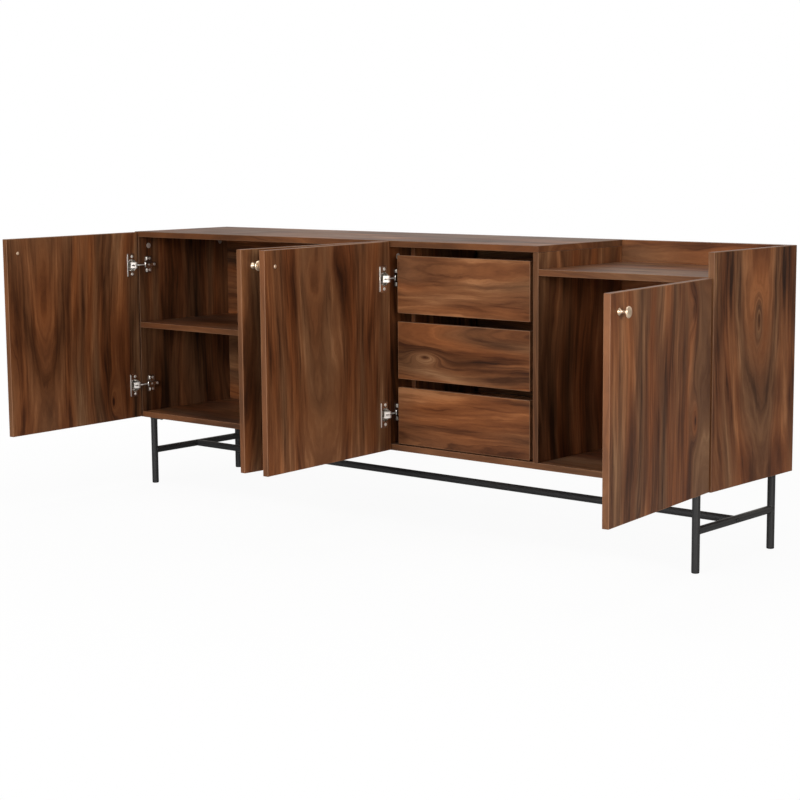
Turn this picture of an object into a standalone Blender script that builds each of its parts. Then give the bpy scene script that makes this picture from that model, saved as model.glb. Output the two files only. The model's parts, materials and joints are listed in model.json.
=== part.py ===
"""A long low sideboard in walnut-look board, on a black steel tube base.

From the left it holds a double cupboard with a fixed shelf, three inner drawers behind a door, and a low
cupboard under an open tray. Sizes are in metres and +Z is up. X runs along the front from left to right and
Y from front to back. The origin is on the floor, under the centre of the front left leg.

Working coordinates, used by every function below: x from the left face of the cabinet, y from the front of
the boards and z from the floor. One empty carries them all and moves them to the origin.
The doors stand open and the drawers are pushed in.
"""
import math

import bmesh
import bpy

# Fit
GAP = 0.0003                 # between pieces that touch
EASED_EDGE = 0.0006          # small chamfer on every board
ROUND_SIDES = 24             # sides of a round piece
SMOOTH_BELOW = 40.0          # degrees; a round piece's edges below this are shaded smooth

# Cabinet
WIDTH = 1.850
DEPTH = 0.350
HEIGHT = 0.700
UNDERSIDE = 0.185            # floor to the cabinet
BOARD = 0.015
MODULES = 4                  # one door each
TRAY_RECESS = 0.053          # top of the cabinet down to the tray
RAIL_HOUSING = 0.003         # how deep the rail behind the tray is let into it
SHELF_RISE = 0.235           # bottom panel up to the shelf
BACK_SHEET = 0.004
BACK_INSET = 0.0095          # back sheet in from the back edges
TONGUE = 0.005               # how far a sheet goes into its grooves
GROOVE_DEPTH = 0.006

# Doors
DOOR_THICKNESS = 0.015
DOOR_GAP = 0.003             # between two doors
PIVOT_FROM_EDGE = 0.0055     # hinge axis in from the door's hinge edge
SWING_CLEARANCE = 0.0005     # door corner to the cabinet as it turns
LEFT_OPEN = 87.0             # degrees open, as the door stands
RIGHT_OPEN = 97.0
MIDDLE_KNOB_PAST = 0.00858   # top of an open door's knob past that door's hinge axis
DRAWER_KNOB_PAST = 0.00127

# Cup hinges
HINGE_FROM_END = 0.090       # hinge centre from the door's top or bottom
CUP_FROM_EDGE = 0.0225       # cup centre from the door's hinge edge
CUP_RADIUS = 0.0175
CUP_DEPTH = 0.0117
CUP_WALL = 0.0013
CUP_RIM = 0.0015             # rim above the door's inner face
FLANGE_LENGTH = 0.0645
FLANGE_WIDTH = 0.020
FLANGE_THICKNESS = 0.001
NOSE_CLEARANCE = 0.0004      # between the arm's nose and the cup's rim
NOSE_DEPTH = 0.0098          # how far the nose reaches into the cup of a closed door
NOSE_THICKNESS = 0.009
NOSE_CHAMFER = 0.003
NOSE_END = 0.0022            # end of the nose's straight side, behind the cabinet's front edge
ARM_WIDTH = 0.012
ARM_THICKNESS = 0.012        # from the panel to the top of the arm
ARM_LENGTH = 0.052           # behind the cabinet's front edge
ARM_BEND = 0.005             # underside leaves the nose, behind the front edge
ARM_FOOT = 0.021             # underside reaches the mounting plate
ARM_SHOULDER = 0.0235        # top reaches its full height
TAIL_CHAMFER = 0.0084
TAIL_DROP = 0.0036
PLATE_SETBACK = 0.037        # centre of the mounting plate behind the front edge
PLATE_LENGTH = 0.048
PLATE_WIDTH = 0.018
PLATE_THICKNESS = 0.0022

# Knobs
KNOB_FROM_EDGE = 0.036
KNOB_FROM_TOP = 0.0375
KNOB_HEIGHT = 0.025
KNOB_HEAD_RADIUS = 0.012
KNOB_DOME = 0.004
KNOB_RIM = 0.0012            # straight edge of the head
KNOB_NECK_RADIUS = 0.003
KNOB_BASE_RADIUS = 0.0075
KNOB_BASE_EDGE = 0.0012
KNOB_FLARE = 0.0075          # height of the curve from the base to the neck
KNOB_WAIST = 0.012           # height at which the neck starts to widen to the head
KNOB_SWEEP = 2.2             # how quickly it widens
KNOB_STEPS = 4               # points along each curve
KNOB_SCREW_RADIUS = 0.002
KNOB_SCREW_HEAD_RADIUS = 0.0042
KNOB_SCREW_HEAD = 0.0018

# Drawers
DRAWERS = ("lower_drawer", "middle_drawer", "upper_drawer")
LOWEST_FRONT = 0.0025        # lowest front above the bottom panel
ABOVE_FRONTS = 0.0205        # from the upper front to the top panel
FRONTS_APART = 0.021         # between two fronts
FRONT_SETBACK = 0.005        # closed front behind the cabinet's front edge
FRONT_THICKNESS = 0.015
DRAWER_SIDE = 0.012
SIDE_RISE = 0.0065           # side above the bottom edge of its front
SIDE_DROP = 0.0425           # side below the top edge of its front
DRAWER_BOTTOM = 0.004
BOTTOM_RISE = 0.008          # drawer bottom above the lower edge of the sides

# Runners
RUNNER_SPACE = 0.0125        # beside each drawer
RUNNER_SETBACK = 0.002       # behind the back of the closed front
BEHIND_RUNNER = 0.0145       # from a runner to the back sheet
RUNNER_METAL = 0.0012
RUNNER_HEIGHT = 0.025
RUNNER_LIP = 0.006
RUNNER_LEDGE = 0.018         # ledge that the drawer side rides on
PACKER = 0.012               # board that moves the left runners clear of the hinges
PACKER_SETBACK = 0.085
BEHIND_PACKER = 0.0115

# Legs
TUBE_RADIUS = 0.009
LEG_FROM_END = 0.045         # leg centre from the end of the cabinet
LEG_FROM_FRONT = 0.014       # leg centre from the front or the back
STRETCHER_HEIGHT = 0.093     # centre of the stretchers above the floor
LEG_PLATE = 0.050
LEG_PLATE_THICKNESS = 0.0025

# Worked out from the sizes above
MODULE = WIDTH / MODULES
UNDER_TOP = HEIGHT - BOARD
FLOOR_TOP = UNDERSIDE + BOARD
TRAY_TOP = HEIGHT - TRAY_RECESS
LEFT_DIVIDER = 2 * MODULE - BOARD / 2
RIGHT_DIVIDER = 3 * MODULE - BOARD
BACK_FRONT = DEPTH - BACK_INSET - BACK_SHEET
BACK_REAR = DEPTH - BACK_INSET
PIVOT_FROM_BACK = DOOR_THICKNESS - PIVOT_FROM_EDGE
DOOR_SETOFF = math.hypot(PIVOT_FROM_EDGE, PIVOT_FROM_BACK) - PIVOT_FROM_BACK + SWING_CLEARANCE
PIVOT_Y = -DOOR_SETOFF - PIVOT_FROM_BACK
PACKER_FACE = LEFT_DIVIDER + BOARD + GAP + PACKER
PACKER_LENGTH = BACK_FRONT - BEHIND_PACKER - PACKER_SETBACK
DRAWER_LEFT = PACKER_FACE + RUNNER_SPACE
DRAWER_RIGHT = RIGHT_DIVIDER - RUNNER_SPACE
FRONT_BACK = FRONT_SETBACK + FRONT_THICKNESS
DRAWER_PITCH = (UNDER_TOP - FLOOR_TOP - LOWEST_FRONT - ABOVE_FRONTS + FRONTS_APART) / len(DRAWERS)
DRAWER_FRONT_HEIGHT = DRAWER_PITCH - FRONTS_APART
SIDE_HEIGHT = DRAWER_FRONT_HEIGHT - SIDE_RISE - SIDE_DROP
RUNNER_LENGTH = BACK_FRONT - BEHIND_RUNNER - FRONT_BACK - RUNNER_SETBACK


def opened_to_knob(past):
    """Degrees open at which the top of a door's knob stands this far past the door's hinge axis."""
    along = MODULE - DOOR_GAP - PIVOT_FROM_EDGE - KNOB_FROM_EDGE
    out = PIVOT_FROM_EDGE + KNOB_HEIGHT
    return math.degrees(math.acos(-past / math.hypot(along, out)) - math.atan2(out, along))


# Name, module, the way its free edge points, degrees open, panel face that carries its hinges, its top edge.
# The middle door and the drawer door hang on one divider, and their knobs decide how far they open.
DOORS = (
    ("left_door", 0, 1, LEFT_OPEN, BOARD, HEIGHT),
    ("middle_door", 1, -1, opened_to_knob(MIDDLE_KNOB_PAST), LEFT_DIVIDER, HEIGHT),
    ("drawer_door", 2, 1, opened_to_knob(DRAWER_KNOB_PAST), LEFT_DIVIDER + BOARD, HEIGHT),
    ("right_door", 3, -1, RIGHT_OPEN, WIDTH - BOARD, TRAY_TOP),
)


def clear_scene():
    for thing in list(bpy.data.objects):
        bpy.data.objects.remove(thing)


def new_collection(name):
    collection = bpy.data.collections.new(name)
    bpy.context.scene.collection.children.link(collection)
    return collection


def new_material(name, colour, roughness, metallic=0.0):
    material = bpy.data.materials.new(name)
    material.use_nodes = True
    shader = material.node_tree.nodes["Principled BSDF"]
    shader.inputs["Base Color"].default_value = (*colour, 1.0)
    shader.inputs["Roughness"].default_value = roughness
    shader.inputs["Metallic"].default_value = metallic
    return material


clear_scene()
PIECES = new_collection("sideboard")
CUTTERS = new_collection("cutters")
WALNUT = new_material("walnut_board", (0.155, 0.075, 0.040), 0.45)
DRAWER_WALNUT = new_material("drawer_board", (0.200, 0.100, 0.055), 0.48)
BACK_WALNUT = new_material("back_sheet", (0.120, 0.060, 0.034), 0.55)
BLACK_STEEL = new_material("black_steel", (0.016, 0.016, 0.017), 0.42, 0.2)
RUNNER_STEEL = new_material("runner_steel", (0.030, 0.022, 0.020), 0.50, 0.3)
BRASS = new_material("brass", (0.780, 0.560, 0.270), 0.25, 1.0)
NICKEL = new_material("nickel", (0.620, 0.600, 0.570), 0.28, 1.0)


def add_empty(name, place, parent=None):
    empty = bpy.data.objects.new(name, None)
    PIECES.objects.link(empty)
    empty.parent = parent
    empty.location = place
    return empty


def add_object(name, mesh, place, parent, look=None, collection=PIECES):
    thing = bpy.data.objects.new(name, mesh)
    collection.objects.link(thing)
    thing.parent = parent
    thing.location = place
    if look and not mesh.materials:
        mesh.materials.append(look)
    return thing


def box_mesh(name, size):
    shape = bmesh.new()
    bmesh.ops.create_cube(shape, size=1.0)
    bmesh.ops.scale(shape, vec=size, verts=shape.verts)
    mesh = bpy.data.meshes.new(name)
    shape.to_mesh(mesh)
    shape.free()
    return mesh


def cylinder_mesh(name, radius, length):
    """A cylinder along z."""
    shape = bmesh.new()
    bmesh.ops.create_cone(shape, cap_ends=True, segments=ROUND_SIDES, radius1=radius, radius2=radius, depth=length)
    mesh = bpy.data.meshes.new(name)
    shape.to_mesh(mesh)
    shape.free()
    mesh.shade_smooth()
    mesh.set_sharp_from_angle(angle=math.radians(SMOOTH_BELOW))
    return mesh


def outline_mesh(name, points, thickness):
    """A flat outline in x and y, given a thickness along z."""
    curve = bpy.data.curves.new(name, "CURVE")
    curve.dimensions = "2D"
    curve.fill_mode = "BOTH"
    curve.extrude = thickness / 2
    spline = curve.splines.new("POLY")
    spline.points.add(len(points) - 1)
    for corner, (x, y) in zip(spline.points, points):
        corner.co = (x, y, 0.0, 1.0)
    spline.use_cyclic_u = True
    flat = add_object(name, curve, (0, 0, 0), None, collection=CUTTERS)
    mesh = finished_mesh(flat)
    shape = bmesh.new()
    shape.from_mesh(mesh)
    bmesh.ops.remove_doubles(shape, verts=shape.verts, dist=0.00001)
    shape.to_mesh(mesh)
    shape.free()
    return mesh


def finished_mesh(thing):
    """The object's shape with its modifiers done. The object goes, with whatever it was cut by or joined to."""
    bpy.context.view_layer.update()
    graph = bpy.context.evaluated_depsgraph_get()
    mesh = bpy.data.meshes.new_from_object(thing.evaluated_get(graph))
    mesh.transform(thing.matrix_world)
    helpers = [modifier.object for modifier in thing.modifiers if modifier.type == "BOOLEAN"]
    for used in [thing, *helpers]:
        bpy.data.objects.remove(used)
    return mesh


def as_guide(thing):
    thing.hide_render = True
    thing.display_type = "WIRE"
    return thing


def boolean(target, other, operation):
    as_guide(other)
    modifier = target.modifiers.new(other.name, "BOOLEAN")
    modifier.operation = operation
    modifier.object = other


def middle(low, high):
    return tuple((a + b) / 2 for a, b in zip(low, high))


def extent(low, high):
    return tuple(b - a for a, b in zip(low, high))


def board(name, low, high, look, parent):
    """A board between two corners, with eased edges."""
    thing = add_object(name, box_mesh(name, extent(low, high)), middle(low, high), parent, look)
    edges = thing.modifiers.new("eased_edges", "BEVEL")
    edges.width = EASED_EDGE
    edges.segments = 1
    return thing


def cut_box(target, name, low, high):
    mesh = box_mesh(name, extent(low, high))
    boolean(target, add_object(name, mesh, middle(low, high), target.parent, collection=CUTTERS), "DIFFERENCE")


def cut_round(target, name, place, radius, length):
    """A round hole along y."""
    mesh = cylinder_mesh(name, radius, length)
    cutter = add_object(name, mesh, place, target.parent, collection=CUTTERS)
    cutter.rotation_euler.x = math.radians(90)
    boolean(target, cutter, "DIFFERENCE")


def sheet_groove(target, name, low_x, high_x, low_z, high_z):
    """The groove that holds the back sheet, with clearance on both faces of the sheet."""
    cut_box(target, name, (low_x, BACK_FRONT - GAP, low_z), (high_x, BACK_REAR + GAP, high_z))


def make_cabinet(cabinet):
    past = BOARD             # how far a groove's cutter runs out of the board
    end = WIDTH - BOARD

    top = board("top_panel", (0, 0, UNDER_TOP), (3 * MODULE, DEPTH, HEIGHT), WALNUT, cabinet)
    sheet_groove(top, "top_groove", BOARD - GROOVE_DEPTH, 3 * MODULE + past, UNDER_TOP - past,
                 UNDER_TOP + GROOVE_DEPTH)

    bottom = board("bottom_panel", (BOARD + GAP, 0, UNDERSIDE), (end - GAP, DEPTH, FLOOR_TOP), WALNUT, cabinet)
    sheet_groove(bottom, "bottom_groove", 0, WIDTH, FLOOR_TOP - GROOVE_DEPTH, FLOOR_TOP + past)

    left = board("left_side_panel", (0, 0, UNDERSIDE), (BOARD, DEPTH, UNDER_TOP - GAP), WALNUT, cabinet)
    sheet_groove(left, "left_groove", BOARD - GROOVE_DEPTH, BOARD + past, FLOOR_TOP - GROOVE_DEPTH, HEIGHT)

    right = board("right_side_panel", (end, 0, UNDERSIDE), (WIDTH, DEPTH, HEIGHT), WALNUT, cabinet)
    sheet_groove(right, "right_groove", end - past, end + GROOVE_DEPTH, FLOOR_TOP - GROOVE_DEPTH,
                 TRAY_TOP - BOARD + GROOVE_DEPTH)

    rear = BACK_FRONT - GAP
    for name, face in (("left_divider", LEFT_DIVIDER), ("right_divider", RIGHT_DIVIDER)):
        board(name, (face, 0, FLOOR_TOP + GAP), (face + BOARD, rear, UNDER_TOP - GAP), WALNUT, cabinet)

    shelf_low = FLOOR_TOP + SHELF_RISE
    board("cupboard_shelf", (BOARD + GAP, 0, shelf_low), (LEFT_DIVIDER - GAP, rear, shelf_low + BOARD), WALNUT,
          cabinet)

    tray = board("tray_shelf", (3 * MODULE + GAP, 0, TRAY_TOP - BOARD), (end - GAP, DEPTH, TRAY_TOP), WALNUT,
                 cabinet)
    sheet_groove(tray, "tray_groove", 3 * MODULE - past, WIDTH, TRAY_TOP - BOARD - past,
                 TRAY_TOP - BOARD + GROOVE_DEPTH)
    rail_front = DEPTH - BOARD
    rail_low = TRAY_TOP - RAIL_HOUSING
    cut_box(tray, "rail_housing", (3 * MODULE - past, rail_front - GAP, rail_low), (WIDTH, DEPTH + past, HEIGHT))
    board("tray_back_rail", (3 * MODULE + GAP, rail_front, rail_low + GAP), (end - GAP, DEPTH, HEIGHT), WALNUT,
          cabinet)

    packer_low = LEFT_DIVIDER + BOARD + GAP
    board("runner_packer", (packer_low, PACKER_SETBACK, FLOOR_TOP + GAP),
          (packer_low + PACKER, PACKER_SETBACK + PACKER_LENGTH, UNDER_TOP - GAP), BACK_WALNUT, cabinet)


def make_back(cabinet):
    """One sheet behind everything but the tray, so it has a step at its upper right corner."""
    left = BOARD - TONGUE
    right = WIDTH - BOARD + TONGUE
    bottom = FLOOR_TOP - TONGUE
    step_x = 3 * MODULE - GAP
    step_z = TRAY_TOP - BOARD + TONGUE
    top = UNDER_TOP + TONGUE
    outline = ((left, bottom), (right, bottom), (right, step_z), (step_x, step_z), (step_x, top), (left, top))
    mesh = outline_mesh("back_panel", outline, BACK_SHEET)
    back = add_object("back_panel", mesh, (0, BACK_FRONT + BACK_SHEET / 2, 0), cabinet, BACK_WALNUT)
    back.rotation_euler.x = math.radians(90)


def tube(name, radius, start, end, parent, collection):
    """A straight tube from one point to another, along x, y or z."""
    length = sum(abs(b - a) for a, b in zip(start, end))
    thing = add_object(name, cylinder_mesh(name, radius, length), middle(start, end), parent, BLACK_STEEL, collection)
    if start[0] != end[0]:
        thing.rotation_euler.y = math.radians(90)
    elif start[1] != end[1]:
        thing.rotation_euler.x = math.radians(90)
    return thing


def make_leg_frame(name, x, inward, cabinet):
    """Two legs, their stretcher and their mounting plates, welded into one piece.

    The stretcher is turned by half a side, so that it doesn't share corners with the legs.
    """
    front = LEG_FROM_FRONT
    back = DEPTH - LEG_FROM_FRONT
    plate_top = UNDERSIDE - GAP
    plate_low = plate_top - LEG_PLATE_THICKNESS
    leg_top = plate_top - LEG_PLATE_THICKNESS / 2
    frame = tube(name, TUBE_RADIUS, (x, front, 0), (x, front, leg_top), cabinet, PIECES)
    welded = [
        tube(name + "_back_leg", TUBE_RADIUS, (x, back, 0), (x, back, leg_top), cabinet, CUTTERS),
        tube(name + "_stretcher", TUBE_RADIUS, (x, front, STRETCHER_HEIGHT), (x, back, STRETCHER_HEIGHT), cabinet,
             CUTTERS),
    ]
    welded[1].rotation_euler.y = math.radians(180 / ROUND_SIDES)
    outer = x - inward * TUBE_RADIUS
    inner = outer + inward * LEG_PLATE
    for label, leg_y, deeper in (("front", front, 1), ("back", back, -1)):
        edge = leg_y - deeper * TUBE_RADIUS
        far = edge + deeper * LEG_PLATE
        low = (min(outer, inner), min(edge, far), plate_low)
        high = (max(outer, inner), max(edge, far), plate_top)
        plate = box_mesh(name + "_" + label + "_plate", extent(low, high))
        welded.append(add_object(plate.name, plate, middle(low, high), cabinet, collection=CUTTERS))
    for other in welded:
        boolean(frame, other, "UNION")


def make_base(cabinet):
    left = LEG_FROM_END
    right = WIDTH - LEG_FROM_END
    make_leg_frame("left_leg_frame", left, 1, cabinet)
    make_leg_frame("right_leg_frame", right, -1, cabinet)

    centre = DEPTH / 2
    reach = 2 * TUBE_RADIUS
    bar = tube("long_stretcher", TUBE_RADIUS, (left, centre, STRETCHER_HEIGHT), (right, centre, STRETCHER_HEIGHT),
               cabinet, PIECES)
    for label, x in (("left", left), ("right", right)):
        cope = tube(label + "_cope", TUBE_RADIUS + GAP, (x, centre - reach, STRETCHER_HEIGHT),
                    (x, centre + reach, STRETCHER_HEIGHT), cabinet, CUTTERS)
        cope.rotation_euler.y = math.radians(180 / ROUND_SIDES)
        boolean(bar, cope, "DIFFERENCE")


def knob_profile():
    """Half the knob's outline as radius and height above the door's outer face, from the dome down to its screw."""
    head_low = KNOB_HEIGHT - KNOB_DOME - KNOB_RIM
    points = [(0.0, KNOB_HEIGHT)]
    for step in range(1, KNOB_STEPS + 1):
        turn = math.radians(90) * step / KNOB_STEPS
        points.append((KNOB_HEAD_RADIUS * math.sin(turn), KNOB_HEIGHT - KNOB_DOME * (1 - math.cos(turn))))
    for step in range(KNOB_STEPS + 1):
        share = step / KNOB_STEPS
        waist = (1 - share) ** KNOB_SWEEP
        points.append((KNOB_NECK_RADIUS + (KNOB_HEAD_RADIUS - KNOB_NECK_RADIUS) * waist,
                       head_low + (KNOB_WAIST - head_low) * share))
    for step in range(1, KNOB_STEPS + 1):
        share = step / KNOB_STEPS
        points.append((KNOB_NECK_RADIUS + (KNOB_BASE_RADIUS - KNOB_NECK_RADIUS) * share ** 2,
                       KNOB_BASE_EDGE + KNOB_FLARE * (1 - share)))
    under = -DOOR_THICKNESS - GAP
    points += [
        (KNOB_BASE_RADIUS, GAP),
        (KNOB_SCREW_RADIUS, GAP),
        (KNOB_SCREW_RADIUS, under),
        (KNOB_SCREW_HEAD_RADIUS, under),
        (KNOB_SCREW_HEAD_RADIUS, under - KNOB_SCREW_HEAD / 2),
        (KNOB_SCREW_HEAD_RADIUS / 2, under - KNOB_SCREW_HEAD),
        (0.0, under - KNOB_SCREW_HEAD),
    ]
    return points


def turned_object(name, profile, parent, look, collection=PIECES):
    """A profile of radius and height, turned about z."""
    mesh = bpy.data.meshes.new(name)
    points = [(radius, 0.0, height) for radius, height in profile]
    mesh.from_pydata(points, [(i, i + 1) for i in range(len(points) - 1)], [])
    thing = add_object(name, mesh, (0, 0, 0), parent, look, collection)
    turn = thing.modifiers.new("turned", "SCREW")
    turn.steps = ROUND_SIDES
    turn.render_steps = ROUND_SIDES
    turn.use_merge_vertices = True
    turn.merge_threshold = 0.00001
    turn.use_smooth_shade = True
    return thing


def cup_mesh():
    """The hinge cup with its flange. Height 0 is the door's inner face, and the cup goes down from there."""
    inner = CUP_RADIUS - CUP_WALL
    floor = -CUP_DEPTH + FLANGE_THICKNESS
    profile = ((0.0, floor), (inner, floor), (inner, CUP_RIM), (CUP_RADIUS, CUP_RIM), (CUP_RADIUS, -CUP_DEPTH),
               (0.0, -CUP_DEPTH))
    cup = turned_object("cup_bowl", profile, None, NICKEL, CUTTERS)
    flange_middle = GAP + FLANGE_THICKNESS / 2
    flange = add_object("cup_flange", box_mesh("cup_flange", (FLANGE_WIDTH, FLANGE_LENGTH, FLANGE_THICKNESS)),
                        (0, 0, flange_middle), None, NICKEL, CUTTERS)
    mouth_radius = CUP_RADIUS - CUP_WALL / 2
    mouth = add_object("cup_mouth", cylinder_mesh("cup_mouth", mouth_radius, CUP_DEPTH), (0, 0, 0), None,
                       collection=CUTTERS)
    boolean(flange, mouth, "DIFFERENCE")
    boolean(flange, cup, "UNION")
    mesh = finished_mesh(flange)
    mesh.name = "hinge_cup"
    return mesh


def arm_mesh(name, side, pivot):
    """The hinge arm on its mounting plate. Here x 0 is the panel's face and pivot is the hinge axis beyond it.

    The nose stops just off the rim of the cup of an open door, and reaches into the cup of a closed one.
    """
    nose = pivot + PIVOT_FROM_BACK + CUP_RIM + NOSE_CLEARANCE
    tip = -DOOR_SETOFF - NOSE_DEPTH
    low = PLATE_THICKNESS
    nose_side = nose + NOSE_THICKNESS
    outline = (
        (nose, tip), (nose_side - NOSE_CHAMFER, tip), (nose_side, tip + NOSE_CHAMFER), (nose_side, NOSE_END),
        (ARM_THICKNESS, ARM_SHOULDER), (ARM_THICKNESS, ARM_LENGTH - TAIL_CHAMFER),
        (ARM_THICKNESS - TAIL_DROP, ARM_LENGTH), (low, ARM_LENGTH), (low, ARM_FOOT), (nose, ARM_BEND),
    )
    arm_outline = outline_mesh(name + "_outline", [(side * x, y) for x, y in outline], ARM_WIDTH)
    arm = add_object(name, arm_outline, (0, 0, 0), None, NICKEL, CUTTERS)
    plate_size = (PLATE_THICKNESS, PLATE_WIDTH, PLATE_LENGTH)
    plate_place = (side * (GAP + PLATE_THICKNESS / 2), PLATE_SETBACK, 0)
    plate = add_object(name + "_plate", box_mesh(name + "_plate", plate_size), plate_place, None,
                       collection=CUTTERS)
    boolean(arm, plate, "UNION")
    return finished_mesh(arm)


def make_door(name, module, side, degrees_open, panel_face, top, cabinet):
    """One door on its hinge axis, with its knob and its two hinges. Side is 1 when it is hinged on its left."""
    low_z = UNDERSIDE + DOOR_GAP / 2
    high_z = top - DOOR_GAP / 2
    width = MODULE - DOOR_GAP
    hinge_edge = (module + (1 - side) / 2) * MODULE + side * DOOR_GAP / 2
    pivot_x = hinge_edge + side * PIVOT_FROM_EDGE
    hinge = add_empty(name + "_hinge", (pivot_x, PIVOT_Y, 0), cabinet)
    hinge.rotation_euler.z = math.radians(-side * degrees_open)

    inner_y = PIVOT_FROM_BACK
    outer_y = inner_y - DOOR_THICKNESS
    ends = sorted((-side * PIVOT_FROM_EDGE, side * (width - PIVOT_FROM_EDGE)))
    panel = board(name + "_panel", (ends[0], outer_y, low_z), (ends[1], inner_y, high_z), WALNUT, hinge)

    cup_x = side * (CUP_FROM_EDGE - PIVOT_FROM_EDGE)
    bore_depth = CUP_DEPTH + GAP
    for level, z in (("upper", high_z - HINGE_FROM_END), ("lower", low_z + HINGE_FROM_END)):
        cut_round(panel, name + "_" + level + "_bore", (cup_x, inner_y, z), CUP_RADIUS + GAP, 2 * bore_depth)
        cup = add_object(name + "_" + level + "_cup", CUP, (cup_x, inner_y, z), hinge)
        cup.rotation_euler.x = math.radians(-90)
        arm_name = name + "_" + level + "_arm"
        arm = arm_mesh(arm_name, side, side * (pivot_x - panel_face))
        add_object(arm_name, arm, (panel_face, 0, z), cabinet)

    knob_x = side * (width - PIVOT_FROM_EDGE - KNOB_FROM_EDGE)
    knob_z = high_z - KNOB_FROM_TOP
    cut_round(panel, name + "_knob_hole", (knob_x, (outer_y + inner_y) / 2, knob_z), KNOB_SCREW_RADIUS + GAP,
              2 * DOOR_THICKNESS)
    knob = turned_object(name + "_knob", knob_profile(), hinge, BRASS)
    knob.location = (knob_x, outer_y, knob_z)
    knob.rotation_euler.x = math.radians(90)


def make_drawer(name, number, cabinet):
    """One drawer, pushed in. Its front covers the ends of its sides, and its bottom lies in grooves."""
    low_z = FLOOR_TOP + LOWEST_FRONT + number * DRAWER_PITCH
    side_low = low_z + SIDE_RISE
    side_high = side_low + SIDE_HEIGHT
    side_front = FRONT_BACK + GAP
    side_back = side_front + RUNNER_LENGTH
    bottom_low = side_low + BOTTOM_RISE
    bottom_high = bottom_low + DRAWER_BOTTOM
    inner_left = DRAWER_LEFT + DRAWER_SIDE
    inner_right = DRAWER_RIGHT - DRAWER_SIDE

    slide = add_empty(name + "_slide", ((DRAWER_LEFT + DRAWER_RIGHT) / 2, FRONT_SETBACK, low_z), cabinet)

    def here(x, y, z):
        return x - slide.location.x, y - slide.location.y, z - slide.location.z

    def groove(target, low_x, high_x, low_y, high_y):
        cut_box(target, target.name + "_groove", here(low_x, low_y, bottom_low - GAP),
                here(high_x, high_y, bottom_high + GAP))

    front = board(name + "_front", here(DRAWER_LEFT, FRONT_SETBACK, low_z),
                  here(DRAWER_RIGHT, FRONT_BACK, low_z + DRAWER_FRONT_HEIGHT), DRAWER_WALNUT, slide)
    groove(front, inner_left - GROOVE_DEPTH, inner_right + GROOVE_DEPTH, FRONT_BACK - GROOVE_DEPTH,
           FRONT_BACK + GROOVE_DEPTH)

    left = board(name + "_left_side", here(DRAWER_LEFT, side_front, side_low), here(inner_left, side_back, side_high),
                 DRAWER_WALNUT, slide)
    groove(left, inner_left - GROOVE_DEPTH, inner_left + GROOVE_DEPTH, side_front - BOARD, side_back + BOARD)

    right = board(name + "_right_side", here(inner_right, side_front, side_low),
                  here(DRAWER_RIGHT, side_back, side_high), DRAWER_WALNUT, slide)
    groove(right, inner_right - GROOVE_DEPTH, inner_right + GROOVE_DEPTH, side_front - BOARD, side_back + BOARD)

    board(name + "_back", here(inner_left + GAP, side_back - DRAWER_SIDE, bottom_high + GAP),
          here(inner_right - GAP, side_back, side_high), DRAWER_WALNUT, slide)
    board(name + "_bottom", here(inner_left - TONGUE, FRONT_BACK - TONGUE, bottom_low),
          here(inner_right + TONGUE, side_back, bottom_high), BACK_WALNUT, slide)


def make_runners(level, number, cabinet):
    """The two runners that carry one drawer. Each is a bent strip whose ledge passes under the drawer's side."""
    side_low = FLOOR_TOP + LOWEST_FRONT + number * DRAWER_PITCH + SIDE_RISE
    ledge_low = side_low - GAP - RUNNER_METAL
    web = GAP + RUNNER_METAL
    outline = (
        (GAP, 0), (RUNNER_LEDGE, 0), (RUNNER_LEDGE, RUNNER_METAL), (web, RUNNER_METAL),
        (web, RUNNER_HEIGHT - RUNNER_METAL), (RUNNER_LIP, RUNNER_HEIGHT - RUNNER_METAL), (RUNNER_LIP, RUNNER_HEIGHT),
        (GAP, RUNNER_HEIGHT),
    )
    centre_y = FRONT_BACK + RUNNER_SETBACK + RUNNER_LENGTH / 2
    for label, face, side in (("left", PACKER_FACE, 1), ("right", RIGHT_DIVIDER, -1)):
        name = level + "_" + label + "_runner"
        mesh = outline_mesh(name, [(side * x, z) for x, z in outline], RUNNER_LENGTH)
        runner = add_object(name, mesh, (face, centre_y, ledge_low), cabinet, RUNNER_STEEL)
        runner.rotation_euler.x = math.radians(90)


CABINET = add_empty("sideboard_frame", (-LEG_FROM_END, -LEG_FROM_FRONT, 0))
CUP = cup_mesh()
make_cabinet(CABINET)
make_back(CABINET)
make_base(CABINET)
for door in DOORS:
    make_door(*door, CABINET)
for drawer_number, drawer_name in enumerate(DRAWERS):
    make_drawer(drawer_name, drawer_number, CABINET)
    make_runners(drawer_name.split("_")[0], drawer_number, CABINET)
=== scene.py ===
import json
import math
import random

import bmesh
import bpy
from mathutils import Matrix, Vector


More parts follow.
